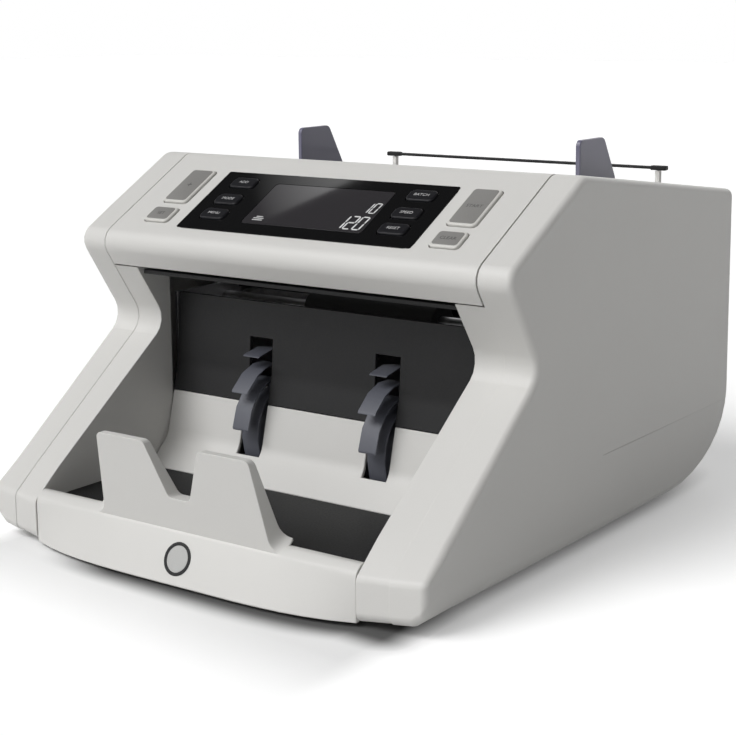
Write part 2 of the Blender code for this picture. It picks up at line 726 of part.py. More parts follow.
# Control cover: nose, sloping key panel, crest and the front wall of the hopper
def control_cover():
    line = rounded([(COVER_LOW_Y, COVER_LOW_Z, 0), (NOSE_Y, NOSE_Z, NOSE_RADIUS),
                    (CREST_Y, CREST_Z, CREST_RADIUS), (COVER_BACK_Y, COVER_BACK_Z, 0)], closed=False)
    half = SEAM_HALF - GAP
    section = wall_section(line, COVER_WALL_PANEL)
    cover = store("control_cover", extrusion("control_cover", section, -half, half), HOUSING)
    inside = -COVER_WALL_PANEL
    for side, word in ((-1, "left"), (1, "right")):
        for row, place in ((BOARD_LOW + BOSS_INSET, "low"), (BOARD_HIGH - BOSS_INSET, "high")):
            name = "board_boss_%s_%s" % (word, place)
            spots = circle(side * (BOARD_HALF - BOSS_SIDE), row, BOSS_RADIUS, BOSS_STEPS)
            levels = (GAP - BOARD_DEPTH, inside + JOIN_DEPTH)
            rings = [[(u, v, height) for u, v in spots] for height in levels]
            join(cover, name, loft_mesh(name, rings), panel)
    recess = GLASS_THICK - GLASS_PROUD + GAP
    cut(cover, "glass_recess",
        tile_mesh("glass_recess", (-GLASS_HALF - GAP, GLASS_LOW - GAP), (GLASS_HALF + GAP, GLASS_HIGH + GAP),
                  -recess, CUT_OVER, GLASS_CORNER), panel)
    low = (LCD_CENTRE - LCD_HALF + LCD_LEDGE, LCD_LOW + LCD_LEDGE)
    high = (LCD_CENTRE + LCD_HALF - LCD_LEDGE, LCD_HIGH - LCD_LEDGE)
    through = 2 * inside
    cut(cover, "lcd_hole", tile_mesh("lcd_hole", low, high, through, CUT_OVER, LCD_CORNER), panel)
    for name, x, row, width, height in key_sizes():
        hole = key_opening(name + "_hole", x, row, width, height, through, CUT_OVER)
        cut(cover, name + "_hole", hole, panel)
    return cover


# Black display plate with its window opening and key holes, and the grey window in it
def display_panel():
    top = GLASS_PROUD
    bottom = GLASS_PROUD - GLASS_THICK
    plate = store("display_panel", tile_mesh("display_panel", (-GLASS_HALF, GLASS_LOW),
                                             (GLASS_HALF, GLASS_HIGH), bottom, top, GLASS_CORNER),
                  GLASS_BLACK, parent=panel)
    low = (LCD_CENTRE - LCD_HALF, LCD_LOW)
    high = (LCD_CENTRE + LCD_HALF, LCD_HIGH)
    store("lcd_window", tile_mesh("lcd_window", low, high, bottom, top, LCD_CORNER), LCD_GREY, parent=panel)
    grown = tile_mesh("window_opening", (low[0] - GAP, low[1] - GAP), (high[0] + GAP, high[1] + GAP),
                      bottom - CUT_OVER, top + CUT_OVER, LCD_CORNER)
    cut(plate, "window_opening", grown, panel)
    for name, x, row, width, height in key_sizes():
        if abs(x) > GLASS_HALF:
            continue
        hole = key_opening(name + "_opening", x, row, width, height, bottom - CUT_OVER, top + CUT_OVER)
        cut(plate, name + "_opening", hole, panel)


# Keys: plungers with a softly domed top, each free to sink towards the board
def keys():
    for name, x, row, width, height in key_sizes():
        side_key = abs(x) > GLASS_HALF
        outline = rounded([(-width / 2, -height / 2, KEY_CORNER), (width / 2, -height / 2, KEY_CORNER),
                           (width / 2, height / 2, KEY_CORNER), (-width / 2, height / 2, KEY_CORNER)])
        levels = [(0.0, -KEY_DEPTH), (0.0, KEY_PROUD - KEY_SHOULDER), (KEY_ROUND, KEY_PROUD - KEY_ROUND),
                  (KEY_CROWN, KEY_PROUD)]
        rings = [[(point.x, point.y, level) for point in shifted(outline, -inset)]
                 for inset, level in levels]
        key = store(name, loft_mesh(name, rings), KEY_GREY if side_key else DARK_PLASTIC, parent=panel)
        key.location = (x, row, 0)


def control_electronics():
    store("control_board", tile_mesh("control_board", (-BOARD_HALF, BOARD_LOW), (BOARD_HALF, BOARD_HIGH),
                                     -BOARD_DEPTH - BOARD_THICK, -BOARD_DEPTH, LCD_CORNER), BOARD_GREEN,
          parent=panel)


# Hopper tray: sloping bed with two side walls, slots for rollers and guide feet
def hopper_tray():
    bed = [Vector((TRAY_FRONT_Y, on_slope(TRAY_FRONT_Y))), Vector((TRAY_BACK_Y, on_slope(TRAY_BACK_Y)))]
    section = wall_section(bed, TRAY_WALL)
    tray = store("hopper_tray", extrusion("hopper_tray", section, -TRAY_HALF, TRAY_HALF), DARK_PLASTIC)
    front = COVER_BACK_Y + TRAY_WALL_FRONT
    back = TRAY_BACK_Y - TRAY_WALL_BACK
    foot = TRAY_FRONT_Y + TRAY_WALL
    outline = rounded([(front, on_slope(front) + TRAY_WALL_FOOT, TRAY_WALL_DROP),
                       (front, top_line(front) - TRAY_WALL_DROP, TRAY_WALL_DROP),
                       (back, top_line(back) - TRAY_WALL_DROP, 0), (back, on_slope(back) - JOIN_DEPTH, 0),
                       (foot, on_slope(foot) - JOIN_DEPTH, 0)])
    half_slot = TRAY_SLOT_WIDTH / 2
    half_width = ROLLER_WIDTH / 2 + ROLLER_CLEAR
    ring = [Vector(spot) for spot in circle(PICKUP_Y, PICKUP_Z, PICKUP_RADIUS + ROLLER_CLEAR)]
    level = on_slope(TRAY_SLOT_Y)
    for side, word in ((-1, "left"), (1, "right")):
        name = "tray_wall_" + word
        left, right = sorted((side * (TRAY_HALF - TRAY_WALL), side * TRAY_HALF))
        join(tray, name, extrusion(name, outline, left, right))
        slot_low, slot_high = sorted((side * TRAY_SLOT_IN, side * TRAY_SLOT_OUT))
        name = "guide_slot_" + word
        cut(tray, name, box_mesh(name, (slot_low, TRAY_SLOT_Y - half_slot, level - TRAY_SLOT_LENGTH / 2),
                                 (slot_high, TRAY_SLOT_Y + half_slot, level + TRAY_SLOT_LENGTH / 2)))
        name = "roller_slot_" + word
        cut(tray, name, extrusion(name, ring, side * ROLLER_X - half_width, side * ROLLER_X + half_width))
    return tray


# Thin bar across the back of the machine, on a post of the rear cover at each end
def rest_bar():
    y = BACK_Y - BAR_SETBACK
    foot = top_line(y) + BAR_RISE + GAP
    depth = BAR_DEPTH / 2
    sill = foot + (BAR_PAD_THICK - BAR_THICK) / 2
    low = (-BAR_HALF, y - depth, sill)
    high = (BAR_HALF, y + depth, sill + BAR_THICK)
    bar = store("rest_bar", box_mesh("rest_bar", low, high, BAR_ROUND, 1), DARK_PLASTIC)
    for side, word in ((-1, "left"), (1, "right")):
        name = "bar_pad_" + word
        left, right = sorted((side * (BAR_HALF - BAR_PAD_LENGTH), side * (BAR_HALF + BAR_ROUND)))
        join(bar, name, box_mesh(name, (left, y - depth - BAR_ROUND, foot),
                                 (right, y + depth + BAR_ROUND, foot + BAR_PAD_THICK), BAR_ROUND, 1))


# Hopper guide: upright plate with a foot on the bed and a tongue with a keeper below it
def hopper_guide(name, side):
    lift = GAP / math.cos(TRAY_ANGLE)
    outline = rounded([(GUIDE_FRONT_Y, on_slope(GUIDE_FRONT_Y) + lift, 0),
                       (GUIDE_FRONT_Y, GUIDE_TOP, GUIDE_ROUNDS[0]),
                       (GUIDE_TOP_BACK_Y, GUIDE_TOP, GUIDE_ROUNDS[1]),
                       (GUIDE_BACK_Y, GUIDE_SHOULDER, GUIDE_ROUNDS[2]),
                       (GUIDE_BACK_Y, on_slope(GUIDE_BACK_Y) + lift, 0)])
    left, right = sorted((side * GUIDE_X, side * (GUIDE_X + GUIDE_THICK)))
    centre = (side * GUIDE_X, TRAY_SLOT_Y, on_slope(TRAY_SLOT_Y))
    guide = store(name, extrusion(name, outline, left, right), GUIDE_BLUE, centre)
    foot = wall_section([Vector((GUIDE_FRONT_Y, on_slope(GUIDE_FRONT_Y) + lift)),
                         Vector((GUIDE_BACK_Y, on_slope(GUIDE_BACK_Y) + lift))], -GUIDE_FOOT_THICK)
    low, high = sorted((side * GUIDE_X, side * (GUIDE_X + GUIDE_FOOT)))
    join(guide, name + "_foot", extrusion(name + "_foot", foot, low, high))
    half_tongue = TRAY_SLOT_WIDTH / 2 - TONGUE_PLAY
    depth = TRAY_DROP + TONGUE_PLAY
    inside = GUIDE_X + TONGUE_SIDE
    tongue_in, tongue_out = sorted((side * inside, side * (inside + TONGUE_WIDTH)))
    above = lift + JOIN_DEPTH
    below = -depth - JOIN_DEPTH
    tongue = [Vector((TRAY_SLOT_Y + reach, on_slope(TRAY_SLOT_Y + reach) + rise)) for reach, rise in
              ((-half_tongue, above), (half_tongue, above), (half_tongue, below), (-half_tongue, below))]
    join(guide, name + "_tongue", extrusion(name + "_tongue", tongue, tongue_in, tongue_out))
    line = [Vector((TRAY_SLOT_Y + reach, on_slope(TRAY_SLOT_Y + reach) - depth)) for reach in
            (-KEEPER_REACH, KEEPER_REACH)]
    keeper = wall_section(line, KEEPER_THICK)
    join(guide, name + "_keeper", extrusion(name + "_keeper", keeper, tongue_in, tongue_out))


# Chassis plate with a bearing hole for each shaft
def chassis_plate(name, side):
    under = TRAY_DROP + CHASSIS_UNDER
    front = CHASSIS_FRONT_Y + CHASSIS_SETBACK
    rear_top = PICKUP_Z + PICKUP_RISE
    step = PICKUP_Y + PICKUP_REACH
    tray_end = TRAY_FRONT_Y + TRAY_WALL
    front_top = SEPARATOR_Z + BEARING_ROOM
    outline = [(front, BASE_TOP + GAP), (CHASSIS_BACK_Y, BASE_TOP + GAP), (CHASSIS_BACK_Y, rear_top),
               (step, rear_top), (step - TRAY_WALL, on_slope(step) - under - CHASSIS_NOTCH),
               (tray_end, on_slope(tray_end) - under),
               (tray_end - BEARING_SIDE, TRAY_FRONT_Z - CHASSIS_SETBACK),
               (SEPARATOR_Y + BEARING_SIDE, front_top), (front, front_top)]
    holes = [circle(y, z, SHAFT_RADIUS + GAP, PIN_STEPS) for y, z in
             ((PICKUP_Y, PICKUP_Z), (FEED_Y, FEED_Z), (SEPARATOR_Y, SEPARATOR_Z), (STACKER_Y, STACKER_Z))]
    if side < 0:
        holes.append(circle(MOTOR_Y, MOTOR_Z, SHAFT_RADIUS + GAP, PIN_STEPS))
    left, right = sorted((side * PLATE_X, side * PLATE_OUT))
    return store(name, plate_mesh(name, [outline] + holes, left, right), STEEL)


# Stacker wheel outline: thin fins that trail round from the hub in a spiral
def fin_outline():
    spots = []
    steps = 6
    for fin in range(FIN_COUNT):
        start = 2 * math.pi * fin / FIN_COUNT
        out = []
        back = []
        for step in range(steps + 1):
            share = step / steps
            radius = STACKER_HUB + (STACKER_RADIUS - STACKER_HUB) * share
            angle = start + FIN_SWEEP * share ** FIN_CURL
            half = FIN_THICK / 2 / radius * (1 - FIN_TAPER * share) / math.cos(FIN_LEAN * share)
            out.append((radius, angle - half))
            back.append((radius, angle + half))
        spots.extend(out + list(reversed(back)))
    return [(STACKER_Y + radius * math.cos(turn), STACKER_Z + radius * math.sin(turn))
            for radius, turn in spots]


def stacker_wheel(name, x):
    bore = circle(STACKER_Y, STACKER_Z, SHAFT_RADIUS + GAP, PIN_STEPS)
    mesh = plate_mesh(name, [fin_outline(), bore], x - STACKER_WIDTH / 2, x + STACKER_WIDTH / 2)
    return store(name, mesh, FIN_PLASTIC, (x, STACKER_Y, STACKER_Z))


# Flanged belt pulley; a belt runs between each two of its flanges
def pulley(name, y, z, radii, left):
    edge = (PULLEY_WIDTH - BELT_WIDTH) / 2 - BELT_PLAY
    bore = SHAFT_RADIUS + GAP
    section = [(left, bore)]
    for radius in radii:
        right = left + PULLEY_WIDTH
        rim = radius + FLANGE
        section += [(left, rim), (left + edge, rim), (left + edge, radius),
                    (right - edge, radius), (right - edge, rim), (right, rim)]
        left = right + GAP
    section.append((right, bore))
    return store(name, turned_mesh(name, section, y, z), DARK_PLASTIC, (0, y, z))


# Belt loop round two pulleys: outer and inner tangent lines joined by arcs
def belt_loop(one, two, first, second, steps=14):
    start = Vector(one)
    end = Vector(two)
    run = end - start
    heading = math.atan2(run.y, run.x)
    lean = math.acos((first - second) / run.length)
    line = []
    for centre, radius, low, high in ((start, first, heading + lean, heading + 2 * math.pi - lean),
                                      (end, second, heading - lean, heading + lean)):
        for step in range(steps + 1):
            angle = low + (high - low) * step / steps
            line.append((centre.x + radius * math.cos(angle), centre.y + radius * math.sin(angle)))
    return line


def belt(name, one, two, first, second, left):
    inner = belt_loop(one, two, first + GAP, second + GAP)
    outer = belt_loop(one, two, first + GAP + BELT_THICK, second + GAP + BELT_THICK)
    start = left + (PULLEY_WIDTH - BELT_WIDTH) / 2
    return store(name, plate_mesh(name, [outer, inner], start, start + BELT_WIDTH), RUBBER)


def transport():
    left_pulley = -PLATE_OUT - GAP - PULLEY_WIDTH
    right_pulley = PLATE_OUT + GAP
    second_pulley = right_pulley + PULLEY_WIDTH + GAP
    reach = second_pulley + PULLEY_WIDTH
    shaft_end = PLATE_OUT + PULLEY_WIDTH + GAP
    rod("pickup_shaft", PICKUP_Y, PICKUP_Z, SHAFT_RADIUS, -PLATE_OUT, reach, STEEL)
    rod("feed_shaft", FEED_Y, FEED_Z, SHAFT_RADIUS, -shaft_end, reach, STEEL)
    rod("separator_shaft", SEPARATOR_Y, SEPARATOR_Z, SHAFT_RADIUS, -PLATE_OUT, PLATE_OUT, STEEL)
    rod("stacker_shaft", STACKER_Y, STACKER_Z, SHAFT_RADIUS, -PLATE_OUT, shaft_end, STEEL)
    bore = SHAFT_RADIUS + GAP
    for side, word in ((-1, "left"), (1, "right")):
        low = side * ROLLER_X - ROLLER_WIDTH / 2
        high = side * ROLLER_X + ROLLER_WIDTH / 2
        sleeve(word + "_pickup_roller", PICKUP_Y, PICKUP_Z, PICKUP_RADIUS, bore, low, high, RUBBER)
        sleeve(word + "_feed_roller", FEED_Y, FEED_Z, FEED_RADIUS, bore, low, high, RUBBER)
        stacker_wheel(word + "_stacker_wheel", side * STACKER_X)
    wide = ROLLER_X + ROLLER_WIDTH / 2
    sleeve("separator_roller", SEPARATOR_Y, SEPARATOR_Z, SEPARATOR_RADIUS, bore, -wide, wide, RUBBER)
    pulley("feed_drive_pulley", FEED_Y, FEED_Z, [FEED_PULLEY], left_pulley)
    pulley("motor_pulley", MOTOR_Y, MOTOR_Z, [MOTOR_PULLEY], left_pulley)
    belt("drive_belt", (MOTOR_Y, MOTOR_Z), (FEED_Y, FEED_Z), MOTOR_PULLEY, FEED_PULLEY, left_pulley)
    pulley("feed_double_pulley", FEED_Y, FEED_Z, [FEED_PULLEY, PICKUP_PULLEY], right_pulley)
    pulley("stacker_pulley", STACKER_Y, STACKER_Z, [STACKER_PULLEY], right_pulley)
    belt("stacker_belt", (FEED_Y, FEED_Z), (STACKER_Y, STACKER_Z), FEED_PULLEY, STACKER_PULLEY, right_pulley)
    pulley("pickup_pulley", PICKUP_Y, PICKUP_Z, [PICKUP_PULLEY], second_pulley)
    belt("pickup_belt", (FEED_Y, FEED_Z), (PICKUP_Y, PICKUP_Z), PICKUP_PULLEY, PICKUP_PULLEY, second_pulley)
    rod("motor_shaft", MOTOR_Y, MOTOR_Z, SHAFT_RADIUS, -shaft_end, GAP - PLATE_X, STEEL)
    face = GAP - PLATE_X
    near = face + GAP
    far = face + MOTOR_LENGTH
    section = [(near, 0), (near, MOTOR_RADIUS - MOTOR_ROUND), (near + MOTOR_ROUND, MOTOR_RADIUS),
               (far - MOTOR_ROUND, MOTOR_RADIUS), (far, MOTOR_RADIUS - MOTOR_ROUND), (far, 0)]
    store("drive_motor", turned_mesh("drive_motor", section, MOTOR_Y, MOTOR_Z), MOTOR_STEEL)


# Base plate, narrow between the cheeks and full width behind them
def base_pan():
    narrow = OPENING_HALF - GAP
    wide = SEAM_HALF - GAP
    front = LIP_BACK_Y + COVER_WALL
    outline = [(-narrow, front), (narrow, front), (narrow, CHEEK_BACK_Y + GAP), (wide, CHEEK_BACK_Y + GAP),
               (wide, BASE_BACK_Y), (-wide, BASE_BACK_Y), (-wide, CHEEK_BACK_Y + GAP),
               (-narrow, CHEEK_BACK_Y + GAP)]
    rings = [[(x, y, z) for x, y in outline] for z in (BODY_BOTTOM, BASE_TOP)]
    pan = store("base_pan", loft_mesh("base_pan", rings), STEEL)
    near = MAIN_BOARD_FRONT_Y + STANDOFF_INSET
    far = MAIN_BOARD_BACK_Y - STANDOFF_INSET
    for side, word in ((-1, "left"), (1, "right")):
        for y, place in ((near, "front"), (far, "back")):
            x = MAIN_BOARD_X + side * (MAIN_BOARD_HALF - STANDOFF_INSET)
            name = "standoff_%s_%s" % (word, place)
            rings = [[(u, v, height) for u, v in circle(x, y, STANDOFF_RADIUS, BOSS_STEPS)]
                     for height in (BASE_TOP - JOIN_DEPTH, BASE_TOP + STANDOFF)]
            join(pan, name, loft_mesh(name, rings))
    return pan


def feet():
    for side, word in ((-1, "left"), (1, "right")):
        for y, place in ((FOOT_FRONT_Y, "front"), (FOOT_REAR_Y, "rear")):
            name = "%s_%s_foot" % (place, word)
            centre = (side * FOOT_X, y)
            levels = ((0.0, FOOT_RADIUS - FOOT_ROUND), (FOOT_ROUND, FOOT_RADIUS),
                      (BODY_BOTTOM - GAP, FOOT_RADIUS))
            rings = [[(u, v, height) for u, v in circle(*centre, radius)] for height, radius in levels]
            store(name, loft_mesh(name, rings), RUBBER)


# Rear cover with the two posts of the rest bar, vents and the openings for inlet and switch
def rear_cover():
    half = SEAM_HALF - GAP
    cover = store("rear_cover", extrusion("rear_cover", rear_section(), -half, half), HOUSING)
    bar_y = BACK_Y - BAR_SETBACK
    for side, word in ((-1, "left"), (1, "right")):
        x = side * (BAR_HALF - POST_INSET)
        low = (x - POST_HALF, bar_y - POST_HALF, top_line(bar_y) - JOIN_DEPTH)
        high = (x + POST_HALF, bar_y + POST_HALF, top_line(bar_y) + BAR_RISE)
        join(cover, "bar_post_" + word, box_mesh("bar_post_" + word, low, high))
    for index in range(VENT_COUNT):
        x = VENT_X + (index - (VENT_COUNT - 1) / 2) * VENT_PITCH
        name = "vent_%d" % index
        low = (x - VENT_WIDTH / 2, BACK_Y - COVER_WALL - CUT_OVER, VENT_Z - VENT_LENGTH / 2)
        high = (x + VENT_WIDTH / 2, BACK_Y + CUT_OVER, VENT_Z + VENT_LENGTH / 2)
        cut(cover, name, box_mesh(name, low, high))
    for name, x, half_u, half_v in (("inlet_hole", INLET_X, INLET_HALF_WIDTH, INLET_HALF_HEIGHT),
                                    ("switch_hole", SWITCH_X, SWITCH_HALF_WIDTH, SWITCH_HALF_HEIGHT)):
        low = (x - half_u - GAP, BACK_Y - COVER_WALL - CUT_OVER, INLET_Z - half_v - GAP)
        high = (x + half_u + GAP, BACK_Y + CUT_OVER, INLET_Z + half_v + GAP)
        cut(cover, name, box_mesh(name, low, high))
    return cover


# Mains inlet: flanged socket with three pins standing on the floor of its well
def mains_inlet():
    low = (INLET_X - INLET_HALF_WIDTH, BACK_Y - INLET_DEPTH, INLET_Z - INLET_HALF_HEIGHT)
    high = (INLET_X + INLET_HALF_WIDTH, BACK_Y + GAP * 2, INLET_Z + INLET_HALF_HEIGHT)
    inlet = store("mains_inlet", box_mesh("mains_inlet", low, high), DARK_PLASTIC)
    flange = box_mesh("inlet_flange", (low[0] - FLANGE_EDGE, BACK_Y + GAP, low[2] - FLANGE_EDGE),
                      (high[0] + FLANGE_EDGE, BACK_Y + GAP + FLANGE_THICK, high[2] + FLANGE_EDGE))
    join(inlet, "inlet_flange", flange)
    well = box_mesh("inlet_well", (low[0] + INLET_WALL, low[1] + INLET_FLOOR, low[2] + INLET_WALL),
                    (high[0] - INLET_WALL, BACK_Y + CUT_OVER, high[2] - INLET_WALL))
    cut(inlet, "inlet_well", well)
    spots = (("left", -PIN_SPREAD, -PIN_DROP), ("middle", 0.0, PIN_DROP), ("right", PIN_SPREAD, -PIN_DROP))
    for place, dx, dz in spots:
        x = INLET_X + dx
        z = INLET_Z + dz
        pin = box_mesh("inlet_pin_" + place,
                       (x - PIN_HALF_WIDTH, low[1] + INLET_FLOOR - JOIN_DEPTH, z - PIN_HALF_HEIGHT),
                       (x + PIN_HALF_WIDTH, BACK_Y - PIN_SINK, z + PIN_HALF_HEIGHT))
        join(inlet, "inlet_pin_" + place, pin)


# Power switch: a frame in the rear wall and the rocker that tips in it
def power_switch():
    low = (SWITCH_X - SWITCH_HALF_WIDTH, BACK_Y - SWITCH_DEPTH, INLET_Z - SWITCH_HALF_HEIGHT)
    high = (SWITCH_X + SWITCH_HALF_WIDTH, BACK_Y + GAP * 2, INLET_Z + SWITCH_HALF_HEIGHT)
    body = store("switch_body", box_mesh("switch_body", low, high), DARK_PLASTIC)
    flange = box_mesh("switch_flange", (low[0] - SWITCH_EDGE, BACK_Y + GAP, low[2] - SWITCH_EDGE),
                      (high[0] + SWITCH_EDGE, BACK_Y + GAP + FLANGE_THICK, high[2] + SWITCH_EDGE))
    join(body, "switch_flange", flange)
    well = box_mesh("switch_well", (low[0] + SWITCH_WALL, low[1] + SWITCH_WALL, low[2] + SWITCH_WALL),
                    (high[0] - SWITCH_WALL, BACK_Y + CUT_OVER, high[2] - SWITCH_WALL))
    cut(body, "switch_well", well)
    half_x = SWITCH_HALF_WIDTH - SWITCH_WALL - GAP
    half_z = SWITCH_HALF_HEIGHT - SWITCH_WALL - ROCKER_CLEAR
    pivot = Vector((SWITCH_X, BACK_Y - ROCKER_SINK, INLET_Z))
    front = ROCKER_SINK + ROCKER_LIP
    outline = rounded([(-ROCKER_TAIL, 0.0, 2 * ROCKER_ROUND), (0.0, -half_z, ROCKER_ROUND),
                       (front, -half_z, ROCKER_ROUND), (ROCKER_SINK + ROCKER_HOLLOW, 0.0, 0),
                       (front, half_z, ROCKER_ROUND), (0.0, half_z, ROCKER_ROUND)])
    line = [Vector((point.x + pivot.y, point.y + pivot.z)) for point in outline]
    rocker = store("power_rocker", extrusion("power_rocker", line, SWITCH_X - half_x, SWITCH_X + half_x),
                   DARK_PLASTIC, pivot)
    rocker.rotation_euler = (ROCKER_TILT, 0, 0)


def electrics():
    width, depth, height = SUPPLY_SIZE
    back = BASE_BACK_Y - SUPPLY_BACK_INSET
    low = (SUPPLY_X - width / 2, back - depth, BASE_TOP + GAP)
    high = (SUPPLY_X + width / 2, back, BASE_TOP + GAP + height)
    store("power_supply", box_mesh("power_supply", low, high, SUPPLY_ROUND), MOTOR_STEEL)
    bottom = BASE_TOP + STANDOFF + GAP
    store("main_board", box_mesh("main_board", (MAIN_BOARD_X - MAIN_BOARD_HALF, MAIN_BOARD_FRONT_Y, bottom),
                                 (MAIN_BOARD_X + MAIN_BOARD_HALF, MAIN_BOARD_BACK_Y, bottom + BOARD_THICK)),
          BOARD_GREEN)


def main():
    for side, word in ((-1, "left"), (1, "right")):
        side_cover(word + "_side_cover", side)
        hopper_guide(word + "_hopper_guide", side)
        chassis_plate(word + "_chassis_plate", side)
    stacker_front()
    stacker_floor()
    stacker_ceiling()
    pocket_backs()
    control_cover()
    display_panel()
    keys()
    control_electronics()
    hopper_tray()
    rest_bar()
    transport()
    base_pan()
    feet()
    rear_cover()
    mains_inlet()
    power_switch()
    electrics()
    bpy.context.view_layer.update()


main()
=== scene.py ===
import json
import math
from functools import partial

import bmesh
import bpy
from mathutils import Euler, Matrix, Vector


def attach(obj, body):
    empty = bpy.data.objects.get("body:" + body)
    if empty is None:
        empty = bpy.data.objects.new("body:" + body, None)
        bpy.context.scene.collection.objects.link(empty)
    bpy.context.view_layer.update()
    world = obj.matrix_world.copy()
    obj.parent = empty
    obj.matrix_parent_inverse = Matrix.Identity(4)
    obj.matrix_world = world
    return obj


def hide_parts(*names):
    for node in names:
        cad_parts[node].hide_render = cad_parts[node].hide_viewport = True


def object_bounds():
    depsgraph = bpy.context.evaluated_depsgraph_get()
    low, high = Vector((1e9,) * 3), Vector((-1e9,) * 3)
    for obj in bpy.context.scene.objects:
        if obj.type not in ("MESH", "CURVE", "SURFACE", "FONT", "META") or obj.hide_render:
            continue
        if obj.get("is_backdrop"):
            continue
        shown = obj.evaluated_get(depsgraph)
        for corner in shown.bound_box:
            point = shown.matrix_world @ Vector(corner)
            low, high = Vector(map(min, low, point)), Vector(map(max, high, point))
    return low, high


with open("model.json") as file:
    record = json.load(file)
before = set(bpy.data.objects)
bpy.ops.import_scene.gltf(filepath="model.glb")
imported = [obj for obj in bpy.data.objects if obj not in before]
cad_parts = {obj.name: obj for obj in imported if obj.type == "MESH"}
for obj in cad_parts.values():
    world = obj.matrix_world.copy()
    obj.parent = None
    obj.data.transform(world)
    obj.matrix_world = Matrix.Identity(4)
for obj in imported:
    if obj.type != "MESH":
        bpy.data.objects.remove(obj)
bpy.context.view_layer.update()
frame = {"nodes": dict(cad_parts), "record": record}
nodes = frame["nodes"]
record = frame["record"]
bodies = record["behaviour"]["bodies"]
bodyOf = {node: body for body, members in bodies.items() for node in members}
slotOf = {row["node"]: row["material_slot"] for row in record["subparts"]}
print("frame loaded with", len(nodes), "nodes")


# Shader maths as plain sums
class Wire:
    def __init__(self, tree, socket=None):
        self.tree = tree
        self.socket = socket

    def node(self, kind, settings=None, values=None, out=0):
        made = self.tree.nodes.new("ShaderNode" + kind)
        for name, value in (settings or {}).items():
            setattr(made, name, value)
        for name, value in (values or {}).items():
            if isinstance(value, Wire):
                self.tree.links.new(value.socket, made.inputs[name])
            else:
                made.inputs[name].default_value = value
        return Wire(self.tree, made.outputs[out])

    def sum(self, operation, one, two):
        return self.node("Math", {"operation": operation}, {0: one, 1: two})

    def __add__(self, other):
        return self.sum("ADD", self, other)

    def __radd__(self, other):
        return self.sum("ADD", other, self)

    def __sub__(self, other):
        return self.sum("SUBTRACT", self, other)

    def __rsub__(self, other):
        return self.sum("SUBTRACT", other, self)

    def __mul__(self, other):
        return self.sum("MULTIPLY", self, other)

    def __rmul__(self, other):
        return self.sum("MULTIPLY", other, self)

    def __gt__(self, other):
        return self.sum("GREATER_THAN", self, other)

    # The Mix node's colours go by index, because its names repeat
    def tint(self, dark, light):
        colours = {"Factor": self, 6: (*dark, 1), 7: (*light, 1)}
        return self.node("Mix", {"data_type": "RGBA"}, colours, 2)

    def ramp(self, start, end, least=0.0, most=1.0, kind="LINEAR"):
        span = {"From Min": start, "From Max": end, "To Min": least, "To Max": most}
        return self.node("MapRange", {"interpolation_type": kind}, {"Value": self, **span})

    def smoothRamp(self, start, end, least=0.0):
        return self.ramp(start, end, least, kind="SMOOTHSTEP")

    def noise(self, scale, detail, stretch=(1, 1, 1)):
        where = self.node("Mapping", None, {"Vector": self, "Scale": stretch})
        return self.node("TexNoise", None, {"Vector": where, "Scale": scale, "Detail": detail})


